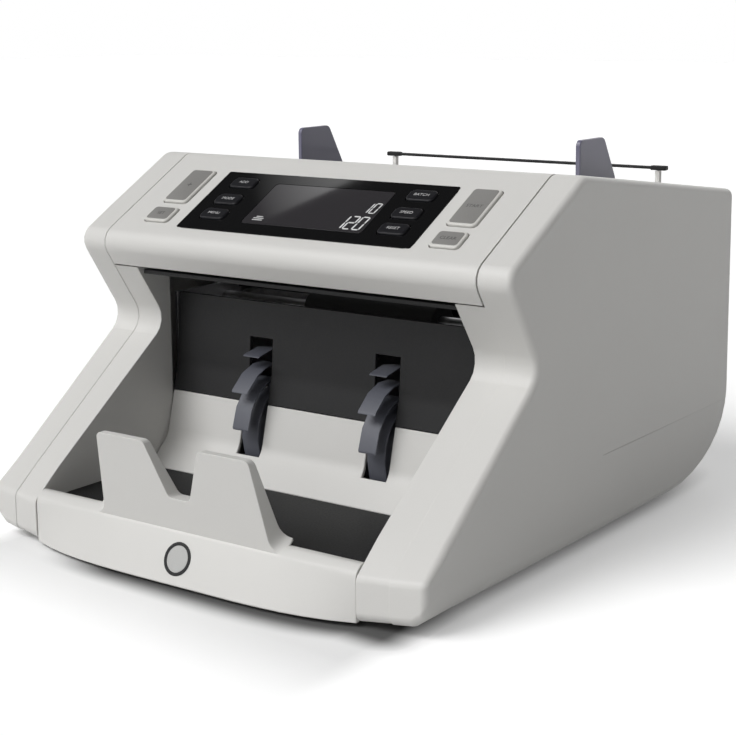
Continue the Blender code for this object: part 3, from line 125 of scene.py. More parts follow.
# Looks by material slot, then those of printed and set-in pieces. Speck and cloud are noises,
# as scale, detail and stretch; the tone follows the cloud, if there is one, and by speckShare
# the speck. Rough is the least roughness and what the speck adds to it, bump the speck's
# strength and depth as relief.
looks = {
    "housing": {
        "name": "housingPlastic",
        "dark": (0.6596, 0.65184, 0.6305), "light": (0.7004, 0.69216, 0.6695),
        "speck": (1400, 2), "cloud": (18, 3), "speckShare": 0.3,
        "rough": (0.40, 0.14), "bump": (0.10, 0.0002)},
    "dark_plastic": {
        "name": "blackPlastic",
        "dark": (0.010, 0.010, 0.0105), "light": (0.016, 0.016, 0.017),
        "speck": (1100, 2), "cloud": (30, 3),
        "rough": (0.46, 0.2), "bump": (0.16, 0.0002), "fixed": {"Specular IOR Level": 0.3}},
    "display_gloss": {
        "name": "displayGloss",
        "dark": (0.0042, 0.0042, 0.0046), "light": (0.0062, 0.0062, 0.0066),
        "speck": (45, 4, (1, 0.4, 0.4)),
        "rough": (0.03, 0.03), "fixed": {"Specular IOR Level": 0.3}},
    "lcd": {
        "name": "displayWindow",
        "dark": (0.030, 0.028, 0.031), "light": (0.035, 0.033, 0.036),
        "speck": (45, 4, (1, 0.4, 0.4)),
        "rough": (0.02, 0.03)},
    "black_keys": {
        "name": "blackKeyPlastic",
        "dark": (0.0045, 0.0045, 0.0065), "light": (0.0075, 0.0075, 0.0100),
        "speck": (1500, 2),
        "rough": (0.36, 0.12), "bump": (0.08, 0.0001), "fixed": {"Specular IOR Level": 0.25}},
    "grey_keys": {
        "name": "greyKeyPlastic",
        "dark": (0.62, 0.61, 0.58), "light": (0.68, 0.67, 0.64),
        "speck": (1500, 2),
        "rough": (0.38, 0.14), "bump": (0.08, 0.0001)},
    "guide_plastic": {
        "name": "guidePlastic",
        "dark": (0.135, 0.131, 0.200), "light": (0.165, 0.160, 0.240),
        "speck": (1200, 2), "cloud": (25, 3),
        "rough": (0.26, 0.12), "bump": (0.06, 0.0001),
        "fixed": {"Coat Weight": 0.3, "Coat Roughness": 0.1}},
    "steel": {
        "name": "platedSteel",
        "dark": (0.46, 0.46, 0.47), "light": (0.63, 0.63, 0.64),
        "speck": (700, 3, (0.03, 1, 1)), "cloud": (22, 3), "speckShare": 0.6,
        "rough": (0.26, 0.2), "bump": (0.06, 0.0001), "fixed": {"Metallic": 1.0}},
    "rubber": {
        "name": "blackRubber",
        "dark": (0.014, 0.014, 0.014), "light": (0.030, 0.030, 0.029),
        "speck": (900, 3),
        "rough": (0.68, 0.2), "bump": (0.25, 0.0003)},
    "fin_plastic": {
        "name": "finPlastic",
        "dark": (0.085, 0.09, 0.11), "light": (0.12, 0.125, 0.15),
        "speck": (1000, 2), "cloud": (40, 3),
        "rough": (0.40, 0.16), "bump": (0.12, 0.0002)},
    "motor_steel": {
        "name": "motorPaint",
        "dark": (0.26, 0.26, 0.27), "light": (0.33, 0.33, 0.34),
        "speck": (500, 3), "cloud": (25, 3),
        "rough": (0.34, 0.16), "bump": (0.12, 0.0002), "fixed": {"Metallic": 0.4}},
    "keyPad": {
        "name": "keyPadGrey",
        "dark": (0.215, 0.21, 0.20), "light": (0.255, 0.25, 0.24),
        "speck": (1300, 2), "rough": (0.44, 0.14), "bump": (0.12, 0.0001)},
    "whiteInk": {
        "name": "whiteInk",
        "dark": (0.50, 0.50, 0.50), "light": (0.58, 0.58, 0.58),
        "speck": (2000, 2), "rough": (0.45, 0.1)},
    "darkInk": {
        "name": "darkInk",
        "dark": (0.06, 0.06, 0.06), "light": (0.10, 0.10, 0.10),
        "speck": (2000, 2), "rough": (0.45, 0.1)},
    "discSatin": {
        "name": "discSatin",
        "dark": (0.44, 0.44, 0.43), "light": (0.50, 0.50, 0.49),
        "speck": (2000, 2), "rough": (0.45, 0.1)},
    "digitGlow": {
        "name": "digitGlow",
        "dark": (0.55, 0.55, 0.55), "light": (0.62, 0.62, 0.62),
        "speck": (2000, 2), "rough": (0.45, 0.1),
        "fixed": {"Emission Strength": 0.12, "Emission Color": (0.9, 0.9, 0.9, 1)}},
}
board = {"trace": (0.055, 0.16, 0.06), "mask": (0.012, 0.075, 0.028), "lanes": 160,
         "traceWidth": 0.06, "traceShare": 0.8, "cloud": (60, 2),
         "rough": (0.30, 0.2), "bump": (0.2, 0.0001)}


def grain(where, height, strength, depth):
    return where.node("Bump", None, {"Height": height, "Strength": strength, "Distance": depth})


# What varies over the surface, by socket
def variedBy(look, where):
    speck = where.noise(*look["speck"])
    tone = where.noise(*look["cloud"]) if "cloud" in look else speck
    if "speckShare" in look:
        tone = tone * (1 - look["speckShare"]) + speck * look["speckShare"]
    rough, roughMore = look["rough"]
    varied = {"Base Color": tone.tint(look["dark"], look["light"]),
              "Roughness": rough + speck * roughMore}
    if "bump" in look:
        varied["Normal"] = grain(where, speck, *look["bump"])
    return varied


# Green solder mask over straight traces
def boardVaried(where):
    lanes = where.node("TexVoronoi", {"feature": "DISTANCE_TO_EDGE", "distance": "CHEBYCHEV"},
                       {"Vector": where, "Scale": board["lanes"]})
    masked = lanes > board["traceWidth"]
    cloud = where.noise(*board["cloud"])
    tone = masked * board["traceShare"] + cloud * (1 - board["traceShare"])
    rough, roughMore = board["rough"]
    return {"Base Color": tone.tint(board["trace"], board["mask"]),
            "Roughness": rough + cloud * roughMore,
            "Normal": grain(where, masked, *board["bump"])}


# One Principled material; recipe gets the object coordinates and returns what varies
def finishOf(name, recipe, fixed):
    material = bpy.data.materials.new(name)
    material.use_nodes = True
    tree = material.node_tree
    shader = tree.nodes["Principled BSDF"]
    for socket, value in fixed.items():
        shader.inputs[socket].default_value = value
    for socket, wire in recipe(Wire(tree).node("TexCoord", out="Object")).items():
        tree.links.new(wire.socket, shader.inputs[socket])
    return material


finishes = {key: finishOf(look["name"], partial(variedBy, look), look.get("fixed", {}))
            for key, look in looks.items()}
finishes["circuit_board"] = finishOf("solderMask", boardVaried, {})
print("finishes ready:", len(finishes))


def addObject(name, data):
    made = bpy.data.objects.new(name, data)
    bpy.context.scene.collection.objects.link(made)
    return made


finest = 1e-7  # vertices and cuts nearer than this fall together


# Finished piece: its place goes into the mesh, so the object stands unturned at the origin
def keep(name, body, finish, ridesOn, place=None, smoothAngle=35):
    if place is not None:
        bmesh.ops.transform(body, matrix=place, verts=body.verts)
    bmesh.ops.remove_doubles(body, verts=body.verts, dist=finest)
    bmesh.ops.recalc_face_normals(body, faces=body.faces)
    mesh = bpy.data.meshes.new(name)
    body.to_mesh(mesh)
    body.free()
    mesh.materials.append(finish)
    mesh.shade_smooth()
    mesh.set_sharp_from_angle(angle=math.radians(smoothAngle))
    piece = addObject(name, mesh)
    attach(piece, ridesOn)
    return piece


# Key panel: across, up the slope from the nose, and out of it
panel = {"nose": (0, -0.0779, 0.1369), "angle": math.radians(29.1),
         "keyTop": 0.0013, "glassTop": 0.0003}
panelPlace = Matrix.Translation(panel["nose"]) @ Matrix.Rotation(panel["angle"], 4, "X")


def onPanel(x, up, out):
    return panelPlace @ Matrix.Translation((x, up, out))


# Rounded turn of a side outline: its centre and points
def roundTurn(before, corner, after, radius, steps):
    inward = (before - corner).normalized()
    outward = (after - corner).normalized()
    half = inward.angle(outward) / 2
    centre = corner + (inward + outward).normalized() * radius / math.sin(half)
    first = corner + inward * radius / math.tan(half) - centre
    last = corner + outward * radius / math.tan(half) - centre
    points = [centre + first.slerp(last, step / steps) * radius for step in range(steps + 1)]
    return centre, points


# The control cover's crest stands as high as the side covers beside it
crest = {"corner": (-0.01141, 0.17391), "foot": (0.003, 0.112), "solidRound": 0.010,
         "round": 0.010, "flat": 0.0085, "fall": math.radians(7.4), "edge": 0.003, "steps": 6,
         "gaps": (-0.0001, 0.0009), "slack": 1e-9, "last": 1e-6}


def fullerCrest(body):
    corner = Vector(crest["corner"])
    foot = Vector(crest["foot"])
    slope = Vector((math.cos(panel["angle"]), math.sin(panel["angle"])))
    centre, old = roundTurn(corner - slope, corner, foot, crest["solidRound"], 1)
    first, last = old[0] - centre, old[-1] - centre
    rear = corner + crest["flat"] * Vector((math.cos(crest["fall"]), -math.sin(crest["fall"])))
    spots = [old[0]]
    spots += roundTurn(corner - slope, corner, rear, crest["round"], crest["steps"])[1]
    spots += roundTurn(corner, rear, foot, crest["edge"], crest["steps"])[1]
    spots.append(rear + (foot - rear).normalized() * (corner - old[-1]).length)
    count = len(spots) - 1

    def reach(vert):
        return Vector((vert.co.y, vert.co.z)) - centre

    def onRound(vert):
        least, most = crest["gaps"]
        out, slack = reach(vert), crest["slack"]
        between = first.cross(out) < slack and out.cross(last) < slack
        return between and least < crest["solidRound"] - out.length < most

    for step in range(1, count):
        strips = [face for face in body.faces if all(onRound(vert) for vert in face.verts)]
        edges = {edge for face in strips for edge in face.edges}
        verts = {vert for face in strips for vert in face.verts}
        ray = first.slerp(last, step / count)
        bmesh.ops.bisect_plane(body, geom=[*verts, *edges, *strips], plane_co=(0, *centre),
                               plane_no=(0, -ray.y, ray.x), dist=finest)
    for vert in body.verts:
        if onRound(vert):
            share = count * reach(vert).angle(first) / first.angle(last)
            share = min(count - crest["last"], share)
            spot = spots[int(share)].lerp(spots[int(share) + 1], share % 1)
            vert.co.y, vert.co.z = spot


# The display plate has crisp corners
glass = {"half": 0.0684, "low": 0.0142, "high": 0.0614, "solidRound": 0.004, "round": 0.0010,
         "deep": 0.002, "slack": 0.00005, "gaps": (-0.0002, 0.0006)}


def crisperCorners(body):
    toPanel = panelPlace.inverted()
    old, new = glass["solidRound"], glass["round"]
    middle = (glass["low"] + glass["high"]) / 2
    least, most = glass["gaps"]
    for vert in body.verts:
        spot = toPanel @ vert.co
        across = abs(spot.x) - glass["half"] + old
        along = abs(spot.y - middle) - glass["high"] + middle + old
        out = math.hypot(across, along)
        onCorner = min(across, along) >= -glass["slack"] and least < out - old < most
        if abs(spot.z) > glass["deep"] or not onCorner:
            continue
        size = (new + out - old) / out
        spot.x = math.copysign(glass["half"] - new + across * size, spot.x)
        up = glass["high"] - middle - new + along * size
        spot.y = middle + math.copysign(up, spot.y - middle)
        vert.co = panelPlace @ spot


# Cuts across the body at even steps of Y, so that it can bend there
def sliced(body, start, end, steps):
    for step in range(steps):
        cut = (0, start + (end - start) * step / steps, 0)
        bmesh.ops.bisect_plane(body, geom=body.verts[:] + body.edges[:] + body.faces[:],
                               dist=finest, plane_co=cut, plane_no=(0, 1, 0))


# The hopper bed rolls over at its upper end, level with the covers round it
bedEnd = {"from": 0.1095, "to": 0.117, "turn": 0.673, "steps": 5}


def rolledEnd(body):
    sliced(body, bedEnd["from"], bedEnd["to"], bedEnd["steps"])
    run = bedEnd["to"] - bedEnd["from"]
    for vert in body.verts:
        past = max(0.0, vert.co.y - bedEnd["from"])
        vert.co.z -= bedEnd["turn"] * past * past / (2 * run)


# The lip reaches lower than its solid does
lip = {"top": 0.0228, "bottom": 0.005, "lower": 0.0030}


def lowerLip(body):
    for vert in body.verts:
        share = (lip["top"] - vert.co.z) / (lip["top"] - lip["bottom"])
        vert.co.z -= lip["lower"] * max(0.0, share)


# The side covers' front ends reach lower too, and turn back at the sides over a wider round
frontEnd = {"from": -0.056, "to": -0.134, "seam": 0.093, "outer": 0.125, "forward": 0.0010,
            "back": 0.0030, "top": 0.034, "bottom": 0.005, "lower": 0.0032, "skirt": 0.008,
            "widen": 0.6, "steps": 16}


def turnedEnd(body):
    sliced(body, frontEnd["from"], frontEnd["to"], frontEnd["steps"])
    run = frontEnd["from"] - frontEnd["to"]
    rolled = frontEnd["top"] - frontEnd["bottom"]
    skirt = frontEnd["skirt"]
    for vert in body.verts:
        near = min(1.0, max(0.0, (frontEnd["from"] - vert.co.y) / run))
        low = near * max(0.0, (frontEnd["top"] - vert.co.z) / rolled)
        out = (abs(vert.co.x) - frontEnd["seam"]) / (frontEnd["outer"] - frontEnd["seam"])
        past = max(0.0, abs(vert.co.x) - frontEnd["outer"] + skirt)
        rise = skirt - math.sqrt(max(0.0, skirt ** 2 - past ** 2))
        vert.co.y += near * (frontEnd["back"] * out - frontEnd["forward"] * (1 - out))
        vert.co.z += low * (frontEnd["widen"] * rise - frontEnd["lower"] * (1 - out))


# Pieces that get their form while their edges are sharp, and those that get it once softened
reshaped = {"control_cover": fullerCrest, "display_panel": crisperCorners,
            "hopper_tray": rolledEnd}
bent = {"stacker_front": lowerLip, "left_side_cover": turnedEnd, "right_side_cover": turnedEnd}

# Moulded copies of the solids: flat faces joined and outer edges softened
softEdges = {
    "housing": 0.0006, "dark_plastic": 0.0003, "display_gloss": 0.0002, "lcd": 0.0001,
    "black_keys": 0.00025, "grey_keys": 0.0003, "guide_plastic": 0.0005, "steel": 0.0002,
    "rubber": 0.0004, "fin_plastic": 0.0002, "motor_steel": 0.0006, "circuit_board": 0.0001,
}
mould = {"merge": 1e-6, "flat": math.radians(0.8), "sharp": math.radians(38), "segments": 3,
         "smooth": 42}


def softened(name):
    slot = slotOf[name]
    body = bmesh.new()
    body.from_mesh(nodes[name].data)
    bmesh.ops.remove_doubles(body, verts=body.verts, dist=mould["merge"])
    bmesh.ops.dissolve_limit(body, angle_limit=mould["flat"], verts=body.verts, edges=body.edges)
    if name in reshaped:
        reshaped[name](body)
    sharp = [edge for edge in body.edges if len(edge.link_faces) == 2 and edge.is_convex
             and edge.calc_face_angle() > mould["sharp"]]
    bmesh.ops.bevel(body, geom=sharp, offset=softEdges[slot], segments=mould["segments"],
                    profile=0.5, material=-1, affect="EDGES", clamp_overlap=True)
    if name in bent:
        bent[name](body)
    copy = keep(name + "Soft", body, finishes[slot], bodyOf[name],
                smoothAngle=mould["smooth"])
    level = copy.modifiers.new("evenFaces", "WEIGHTED_NORMAL")
    level.keep_sharp = True
    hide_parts(name)


for name in nodes:
    softened(name)
print("solids softened:", len(nodes))

letters = {"thick": 0.00003, "curveSteps": 3, "smooth": 30}


def lettering(name, words, size, place, finish, ridesOn):
    curve = bpy.data.curves.new(name, "FONT")
    curve.body = words
    curve.size = size
    curve.align_x = "CENTER"
    curve.align_y = "CENTER"
    curve.extrude = letters["thick"]
    curve.resolution_u = letters["curveSteps"]
    holder = addObject(name + "Text", curve)
    evaluated = holder.evaluated_get(bpy.context.evaluated_depsgraph_get())
    shape = bpy.data.meshes.new_from_object(evaluated)
    bpy.data.objects.remove(holder, do_unlink=True)
    body = bmesh.new()
    body.from_mesh(shape)
    keep(name, body, finish, ridesOn, place, letters["smooth"])


padSteps = {"corner": 5, "rim": 2}


# Flat plate with rounded corners and a softened top edge
def pad(width, height, thick, corner, soft):
    body = bmesh.new()
    bmesh.ops.create_cube(body, size=1)
    bmesh.ops.transform(body, matrix=Matrix.Diagonal((width, height, thick, 1)), verts=body.verts)
    upright = [edge for edge in body.edges
               if abs(edge.verts[0].co.z - edge.verts[1].co.z) > thick / 2]
    bmesh.ops.bevel(body, geom=upright, offset=corner, segments=padSteps["corner"],
                    profile=0.5, material=-1, affect="EDGES")
    rim = [edge for edge in body.edges if min(vert.co.z for vert in edge.verts) > thick / 4]
    bmesh.ops.bevel(body, geom=rim, offset=soft, segments=padSteps["rim"],
                    profile=0.5, material=-1, affect="EDGES")
    return body


keyFaces = {"width": 0.0155, "margin": 0.0012, "thick": 0.00025, "corner": 0.0016,
            "soft": 0.00008, "sign": 0.006, "word": 0.0029, "blackWord": 0.0026}
greyKeys = {  # middle across, low and high up the slope, words
    "left_long": (-0.08405, 0.0326, 0.0605, "+"),
    "right_long": (0.08405, 0.0326, 0.0605, "START"),
    "left_short": (-0.08405, 0.0165, 0.0282, "SET"),
    "right_short": (0.08405, 0.0165, 0.0282, "CLEAR"),
}
for body, (x, low, high, words) in greyKeys.items():
    width = keyFaces["width"] - 2 * keyFaces["margin"]
    height = high - low - 2 * keyFaces["margin"]
    middle = (low + high) / 2
    face = pad(width, height, keyFaces["thick"], keyFaces["corner"], keyFaces["soft"])
    keep(body + "_pad", face, finishes["keyPad"], body,
         onPanel(x, middle, panel["keyTop"]))
    size = keyFaces["sign"] if len(words) == 1 else keyFaces["word"]
    place = onPanel(x, middle, panel["keyTop"] + keyFaces["thick"] / 2)
    lettering(body + "_words", words, size, place, finishes["darkInk"], body)

blackKeys = {  # middle across, row up the slope, words
    "left_upper": (-0.0526, 0.0522, "ADD"),
    "left_middle": (-0.0526, 0.0383, "MODE"),
    "left_lower": (-0.0526, 0.0262, "MENU"),
    "right_upper": (0.0526, 0.0522, "BATCH"),
    "right_middle": (0.0526, 0.0383, "SPEED"),
    "right_lower": (0.0526, 0.0262, "RESET"),
}
for body, (x, row, words) in blackKeys.items():
    lettering(body + "_words", words, keyFaces["blackWord"], onPanel(x, row, panel["keyTop"]),
              finishes["whiteInk"], body)
print("keys dressed:", len(greyKeys) + len(blackKeys))

# Segment digits on the window
display = {
    "segments": {"0": "abcdef", "1": "bc", "2": "abged"},
    "ends": {"a": ((0, 2), (1, 2)), "b": ((1, 1), (1, 2)), "c": ((1, 0), (1, 1)),
             "d": ((0, 0), (1, 0)), "e": ((0, 0), (0, 1)), "f": ((0, 1), (0, 2)),
             "g": ((0, 1), (1, 1))},
    "lean": 0.10, "stroke": 0.11, "spare": 0.25, "thick": 0.00006, "sink": 0.00001,
}
bigDigits = {"text": "120", "right": 0.0345, "low": 0.0238, "width": 0.0038, "height": 0.0096,
             "step": 0.0053}
smallDigits = {"text": "10", "right": 0.0350, "low": 0.0367, "width": 0.0030, "height": 0.0075,
               "step": 0.0043}


def segmentBar(body, start, end, half):
    along = (end - start).normalized()
    side = Vector((-along.y, along.x)) * half
    tip = along * half
    start = start + tip * display["spare"]
    end = end - tip * display["spare"]
    corners = [start, start + tip + side, end - tip + side,
               end, end - tip - side, start + tip - side]
    body.faces.new([body.verts.new((spot.x, spot.y, 0)) for spot in corners])


def digits(name, look):
    body = bmesh.new()
    width, height = look["width"], look["height"]
    for index, digit in enumerate(reversed(look["text"])):
        left = look["right"] - width - index * look["step"]
        for letter in display["segments"][digit]:
            ends = [Vector((left + width * u + display["lean"] * height * v / 2,
                            look["low"] + height * v / 2)) for u, v in display["ends"][letter]]
            segmentBar(body, *ends, width * display["stroke"])
    raised = bmesh.ops.extrude_face_region(body, geom=body.faces[:])
    tops = [item for item in raised["geom"] if isinstance(item, bmesh.types.BMVert)]
    bmesh.ops.translate(body, vec=(0, 0, display["thick"]), verts=tops)
    keep(name, body, finishes["digitGlow"], "machine",
         onPanel(0, 0, panel["glassTop"] - display["sink"]))


digits("bigDigits", bigDigits)
digits("smallDigits", smallDigits)

# Mark of three bars, like a stack
stackMark = {"x": -0.0252, "up": 0.0248, "step": 0.0013, "widths": (0.0062, 0.0062, 0.0040),
             "tall": 0.0007, "thick": 0.00008, "corner": 0.0003, "soft": 0.00002,
             "out": 0.00002}
for index, width in enumerate(stackMark["widths"]):
    bar = pad(width, stackMark["tall"], stackMark["thick"], stackMark["corner"],
              stackMark["soft"])
    up = stackMark["up"] + index * stackMark["step"]
    keep("stackMark%d" % index, bar, finishes["whiteInk"], "machine",
         onPanel(stackMark["x"], up, panel["glassTop"] + stackMark["out"]))
print("display dressed")

# Blank inlay in the front lip: dark ring round a plain satin disc
inlay = {"centre": (0, -0.14465, 0.0124), "lean": math.radians(24.1), "ring": 0.0074,
         "disc": 0.0059, "proud": 0.0003, "deep": 0.0006, "edge": 0.0003, "shoulder": 0.6}
inlayTurn = Matrix.Rotation(math.pi / 2 - inlay["lean"], 4, "X")
inlayPlace = Matrix.Translation(inlay["centre"]) @ inlayTurn
disc = {"dome": ((0, 0.5), (0.7, 0.42)), "rim": (0.0002, 0.2), "gap": 0.0001}


def turned(section, steps=48):
    body = bmesh.new()
    spots = [body.verts.new((radius, 0, height)) for radius, height in section]
    edges = [body.edges.new(pair) for pair in zip(spots, spots[1:])]
    bmesh.ops.spin(body, geom=spots + edges, cent=(0, 0, 0), axis=(0, 0, 1), dvec=(0, 0, 0),
                   angle=2 * math.pi, steps=steps, use_merge=True)
    return body


inner, outer, proud, deep = inlay["disc"], inlay["ring"], inlay["proud"], inlay["deep"]
shoulder, edge = proud * inlay["shoulder"], inlay["edge"]
ringSection = [(inner, -deep), (inner, shoulder), (inner + edge, proud), (outer - edge, proud),
               (outer, shoulder), (outer, -deep), (inner, -deep)]
keep("inlayRing", turned(ringSection), finishes["dark_plastic"], "machine",
     inlayPlace)
rimIn, rimHeight = disc["rim"]
discSection = [(inner * radius, proud * height) for radius, height in disc["dome"]]
discSection += [(inner - rimIn, proud * rimHeight), (inner - disc["gap"], -deep), (0, -deep)]
keep("inlayDisc", turned(discSection), finishes["discSatin"], "machine", inlayPlace)
print("inlay set")

# Screws with a cross recess: local Z points out of the face
screw = {"radius": 0.0030, "height": 0.0012, "slotLong": 0.0036, "slotWide": 0.0008,
         "slotDeep": 0.0007, "dome": ((1.0, -0.3), (1.0, 0.35), (0.94, 0.7), (0.80, 0.93)),
         "wall": 0.8, "tip": (0.5, 0.9), "smooth": 30}
faceTurns = {"back": Matrix(((-1, 0, 0), (0, 0, 1), (0, 1, 0))).to_4x4(),
             "under": Matrix.Rotation(math.pi, 4, "X")}


def crossRing(half, wide, height):
    corners = [(half, -wide), (half, wide), (wide, wide), (wide, half),
               (-wide, half), (-wide, wide), (-half, wide), (-half, -wide),
               (-wide, -wide), (-wide, -half), (wide, -half), (wide, -wide)]
    return [(x, y, height) for x, y in corners]


# Domed head: rings of the same count run from the rim to the cross and down into it
def screwHead():
    body = bmesh.new()
    half = screw["slotLong"] / 2
    wide = screw["slotWide"] / 2
    cross = crossRing(half, wide, screw["height"])
    turns = [math.atan2(y, x) for x, y, height in cross]
    rings = []
    for share, height in screw["dome"]:
        radius = screw["radius"] * share
        rings.append([(radius * math.cos(turn), radius * math.sin(turn), screw["height"] * height)
                      for turn in turns])
    rings.append(cross)
    rings.append(crossRing(half, wide, screw["height"] - screw["slotDeep"] * screw["wall"]))
    tipLong, tipWide = screw["tip"]
    rings.append(crossRing(half * tipLong, wide * tipWide, screw["height"] - screw["slotDeep"]))
    loops = [[body.verts.new(spot) for spot in ring] for ring in rings]
    for lower, upper in zip(loops, loops[1:]):
        for index in range(len(lower)):
            after = (index + 1) % len(lower)
            body.faces.new((lower[index], lower[after], upper[after], upper[index]))
    body.faces.new(loops[-1])
    body.faces.new(list(reversed(loops[0])))
    return body


screwRows = {  # face, and place of the left one of two heads
    "backUpper": ("back", (0.097, 0.1472, 0.1405)),
    "backLower": ("back", (0.097, 0.1472, 0.0600)),
    "underFront": ("under", (-0.060, -0.1200, 0.0050)),
    "underMiddle": ("under", (-0.100, -0.0300, 0.0050)),
    "underRear": ("under", (-0.100, 0.0880, 0.0050)),
}
for row, (face, (x, y, z)) in screwRows.items():
    for hand, across in (("Left", x), ("Right", -x)):
        keep(row + hand + "Screw", screwHead(), finishes["steel"], "machine",
             Matrix.Translation((across, y, z)) @ faceTurns[face], screw["smooth"])

# Metal blades over the pins of the inlet
pin = {"spots": ((-0.006, -0.002), (0.0, 0.002), (0.006, -0.002)), "centre": (0.066, 0.064),
       "wide": 0.0024, "tall": 0.0044, "front": 0.1446, "long": 0.0128, "corner": 0.0004,
       "soft": 0.0003}
for index, (dx, dz) in enumerate(pin["spots"]):
    blade = pad(pin["wide"], pin["tall"], pin["long"], pin["corner"], pin["soft"])
    place = (pin["centre"][0] + dx, pin["front"] - pin["long"] / 2, pin["centre"][1] + dz)
    keep("inletBlade%d" % index, blade, finishes["steel"], "machine",
         Matrix.Translation(place) @ faceTurns["back"])

# Marks on the rocker, which stands tipped at rest
rocker = {"pivot": (0.030, 0.1432, 0.064), "tilt": math.radians(7), "hollow": 0.0045,
          "rise": 0.0007, "half": 0.0075, "up": 0.0042, "size": 0.0036, "out": 0.00002}
rockerPlace = Matrix.Translation(rocker["pivot"]) @ Matrix.Rotation(rocker["tilt"], 4, "X")
rockerLean = math.atan2(rocker["rise"], rocker["half"])
rockerOut = rocker["hollow"] + rocker["rise"] * rocker["up"] / rocker["half"] + rocker["out"]
for word, side in (("I", 1), ("O", -1)):
    place = (rockerPlace @ Matrix.Translation((0, rockerOut, side * rocker["up"]))
             @ Matrix.Rotation(side * rockerLean, 4, "X") @ faceTurns["back"])
    lettering("rockerMark" + word, word, rocker["size"], place, finishes["whiteInk"],
              "rocker")

# Bare plate on the back
plate = {"centre": (-0.055, 0.1472, 0.0640), "size": (0.046, 0.022, 0.0006),
         "corner": 0.0015, "soft": 0.0001}
plateBody = pad(*plate["size"], plate["corner"], plate["soft"])
keep("rearPlate", plateBody, finishes["motor_steel"], "machine",
     Matrix.Translation(plate["centre"]) @ faceTurns["back"])
print("screws, blades and plate set")

# Camera
shot = {"place": (0.4708, -0.648, 0.2473),
        "turn": (math.radians(90 - 9.887), 0, math.radians(36.1154)),
        "roll": math.radians(-0.5234), "lens": 80.605, "sensor": 36, "shiftY": -0.10}
cameraData = bpy.data.cameras.new("studioCamera")
cameraData.lens = shot["lens"]
cameraData.sensor_width = shot["sensor"]
cameraData.shift_y = shot["shiftY"]
cameraData.dof.use_dof = False
camera = addObject("studioCamera", cameraData)
camera.location = shot["place"]
cameraTurn = Euler(shot["turn"]).to_matrix() @ Matrix.Rotation(shot["roll"], 3, "Z")
camera.rotation_euler = cameraTurn.to_euler()
bpy.context.scene.camera = camera

lamps = {  # direction towards the light, strength, angle that it fills
    "key": ((-0.36, -0.56, 0.75), 1.98, 36),
    "rim": ((-0.10, 0.82, 0.55), 0.65, 60),
    "fill": ((-0.10, -0.95, 0.15), 0.80, 60),
}
for name, (towards, strength, spread) in lamps.items():
    light = bpy.data.lights.new(name, "SUN")
    light.energy = strength
    light.angle = math.radians(spread)
    lamp = addObject(name, light)
    lamp.rotation_euler = Vector(towards).to_track_quat("Z", "Y").to_euler()

# Light card that the display mirrors: bright by one spot, cut off along a slanting line
card = {"bright": (0.0039, 0.0599), "edge": ((0.0048, 0.0571), (-0.0200, 0.0260)),
        "inside": (-0.030, 0.050), "reach": 1.1, "long": 0.40, "deep": 0.16,
        "spread": math.radians(6.4), "radiance": 1.8}
glassNormal = panelPlace.to_3x3() @ Vector((0, 0, 1))


def bounced(x, up):
    spot = onPanel(x, up, panel["glassTop"]).translation
    return spot, (spot - camera.location).normalized().reflect(glassNormal)


brightSpot, away = bounced(*card["bright"])
cardMiddle = brightSpot + away * card["reach"]


def onCard(x, up):
    spot, ray = bounced(x, up)
    return spot + ray * (cardMiddle - spot).dot(away) / ray.dot(away)


edgeStart, edgeEnd = (onCard(*spot) for spot in card["edge"])
along = (edgeStart - edgeEnd).normalized()
inward = away.cross(along)
if inward.dot(onCard(*card["inside"]) - edgeStart) < 0:
    along, inward = -along, -inward
halfSpread = card["spread"] / 2
# A narrow spread gathers the light
gathered = (math.tan(halfSpread) - halfSpread) / math.tan(halfSpread)
cardLight = bpy.data.lights.new("card", "AREA")
cardLight.shape = "RECTANGLE"
cardLight.size = card["long"]
cardLight.size_y = card["deep"]
cardLight.spread = card["spread"]
cardLight.energy = card["radiance"] * math.pi * card["long"] * card["deep"] * gathered
cardTurn = Matrix((along, inward, away)).transposed().to_4x4()
cardPlace = (edgeStart + edgeEnd) / 2 + inward * card["deep"] / 2
cardLamp = addObject("card", cardLight)
cardLamp.matrix_world = Matrix.Translation(cardPlace) @ cardTurn


# One where the camera looks, straight or by a reflection, and none where light only bounces
def seenBy(wire):
    rays = ("Is Camera Ray", "Is Glossy Ray", "Is Transmission Ray")
    straight, mirrored, through = (wire.node("LightPath", out=ray) for ray in rays)
    return wire.node("Clamp", None, {"Value": straight + mirrored + through})


# White backdrop that darkens overhead
sky = {"ambient": 0.18, "horizon": 1.0, "zenith": 0.05, "fade": (0.25, 0.55)}
world = bpy.data.worlds.new("studioWorld")
bpy.context.scene.world = world
world.use_nodes = True
skyWire = Wire(world.node_tree)
skySeen = seenBy(skyWire)
looking = skyWire.node("TexCoord", out="Generated")
up = skyWire.node("SeparateXYZ", None, {"Vector": looking}, "Z")
glow = up.ramp(*sky["fade"], sky["horizon"], sky["zenith"])
skyStrength = skySeen * glow + (1 - skySeen) * sky["ambient"]
backdrop = world.node_tree.nodes["Background"]
backdrop.inputs["Color"].default_value = (1, 1, 1, 1)
world.node_tree.links.new(skyStrength.socket, backdrop.inputs["Strength"])

# White floor, lifted to the backdrop's white except below the machine and in front of it
paper = {"size": 6, "rough": 0.9, "seen": 0.97, "bounce": 0.65, "lift": 0.26,
         "half": (0.108, 0.141), "ahead": 0.017, "slant": 0.10, "fade": (0.014, 0.045)}
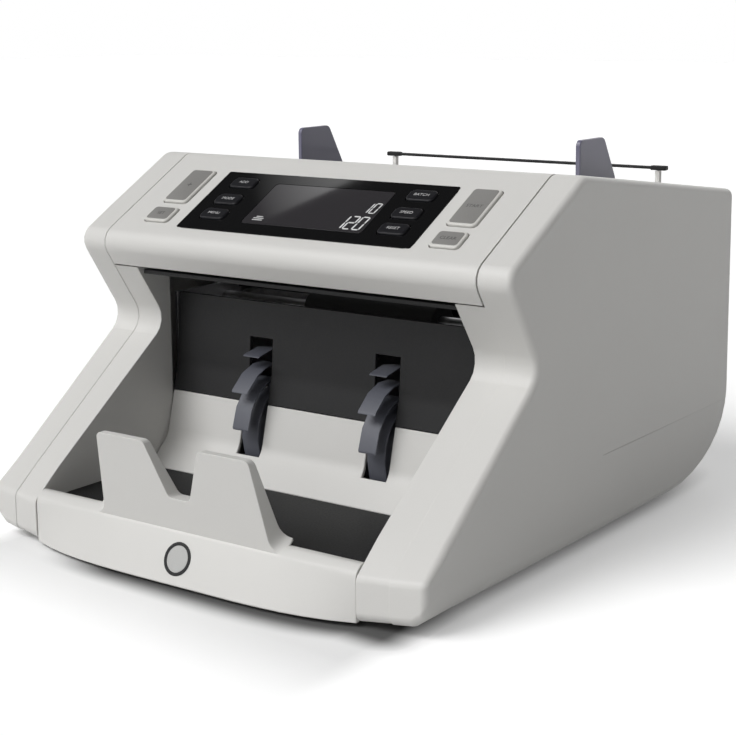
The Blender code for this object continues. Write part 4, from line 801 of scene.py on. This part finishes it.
# Soft shadow painted into the floor's colour in front of the bowed lip, fading out towards the
# sides and below the machine
paintedLipShadow = {"front": -0.140, "half": 0.0927, "bow": 0.0093, "power": 4, "start": -0.001,
            "end": 0.0155, "widen": 0.03, "dark": 0.12, "left": (-0.085, -0.035),
            "right": (0.130, 0.108), "below": (-0.090, -0.120)}


def paintedShadowBy(across, back):
    aside = across.sum("ABSOLUTE", across * (1 / paintedLipShadow["half"]), 0)
    bowed = across.sum("MINIMUM", across.sum("POWER", aside, paintedLipShadow["power"]), 1)
    gap = paintedLipShadow["front"] - back - (1 - bowed) * paintedLipShadow["bow"] - across * paintedLipShadow["widen"]
    depth = gap.smoothRamp(paintedLipShadow["start"], paintedLipShadow["end"], paintedLipShadow["dark"])
    beside = across.smoothRamp(*paintedLipShadow["left"]) * across.smoothRamp(*paintedLipShadow["right"])
    return 1 - beside * back.smoothRamp(*paintedLipShadow["below"]) * (1 - depth)


def liftBy(across, back):
    axes = (across, back + (across * paper["slant"] + paper["ahead"]))
    gaps = [across.sum("ABSOLUTE", axis, 0) - half for axis, half in zip(axes, paper["half"])]
    aside, ahead = (across.sum("MAXIMUM", gap * (1 / fade), 0)
                    for gap, fade in zip(gaps, paper["fade"]))
    away = across.sum("POWER", aside * aside + ahead * ahead, 0.5)
    return away.ramp(0, 1) * paper["lift"]


def paperVaried(where):
    seen = seenBy(where)
    across = where.node("SeparateXYZ", None, {"Vector": where}, "X")
    back = where.node("SeparateXYZ", None, {"Vector": where}, "Y")
    # The floor's seen colour carries the painted shadow in front of the lip
    shown = paintedShadowBy(across, back) * paper["seen"]
    return {"Base Color": seen * shown + (1 - seen) * paper["bounce"],
            "Emission Color": seen * liftBy(across, back)}


ground = bmesh.new()
bmesh.ops.create_grid(ground, x_segments=2, y_segments=2, size=paper["size"])
floorMesh = bpy.data.meshes.new("studioFloor")
ground.to_mesh(floorMesh)
ground.free()
floorMesh.materials.append(finishOf("floorPaper", paperVaried, {
    "Roughness": paper["rough"], "Specular IOR Level": 0.0, "Emission Strength": 1.0}))
floor = addObject("studioFloor", floorMesh)
floor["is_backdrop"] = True

bpy.context.scene.view_settings.view_transform = "Standard"
print("studio set")

low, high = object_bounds()
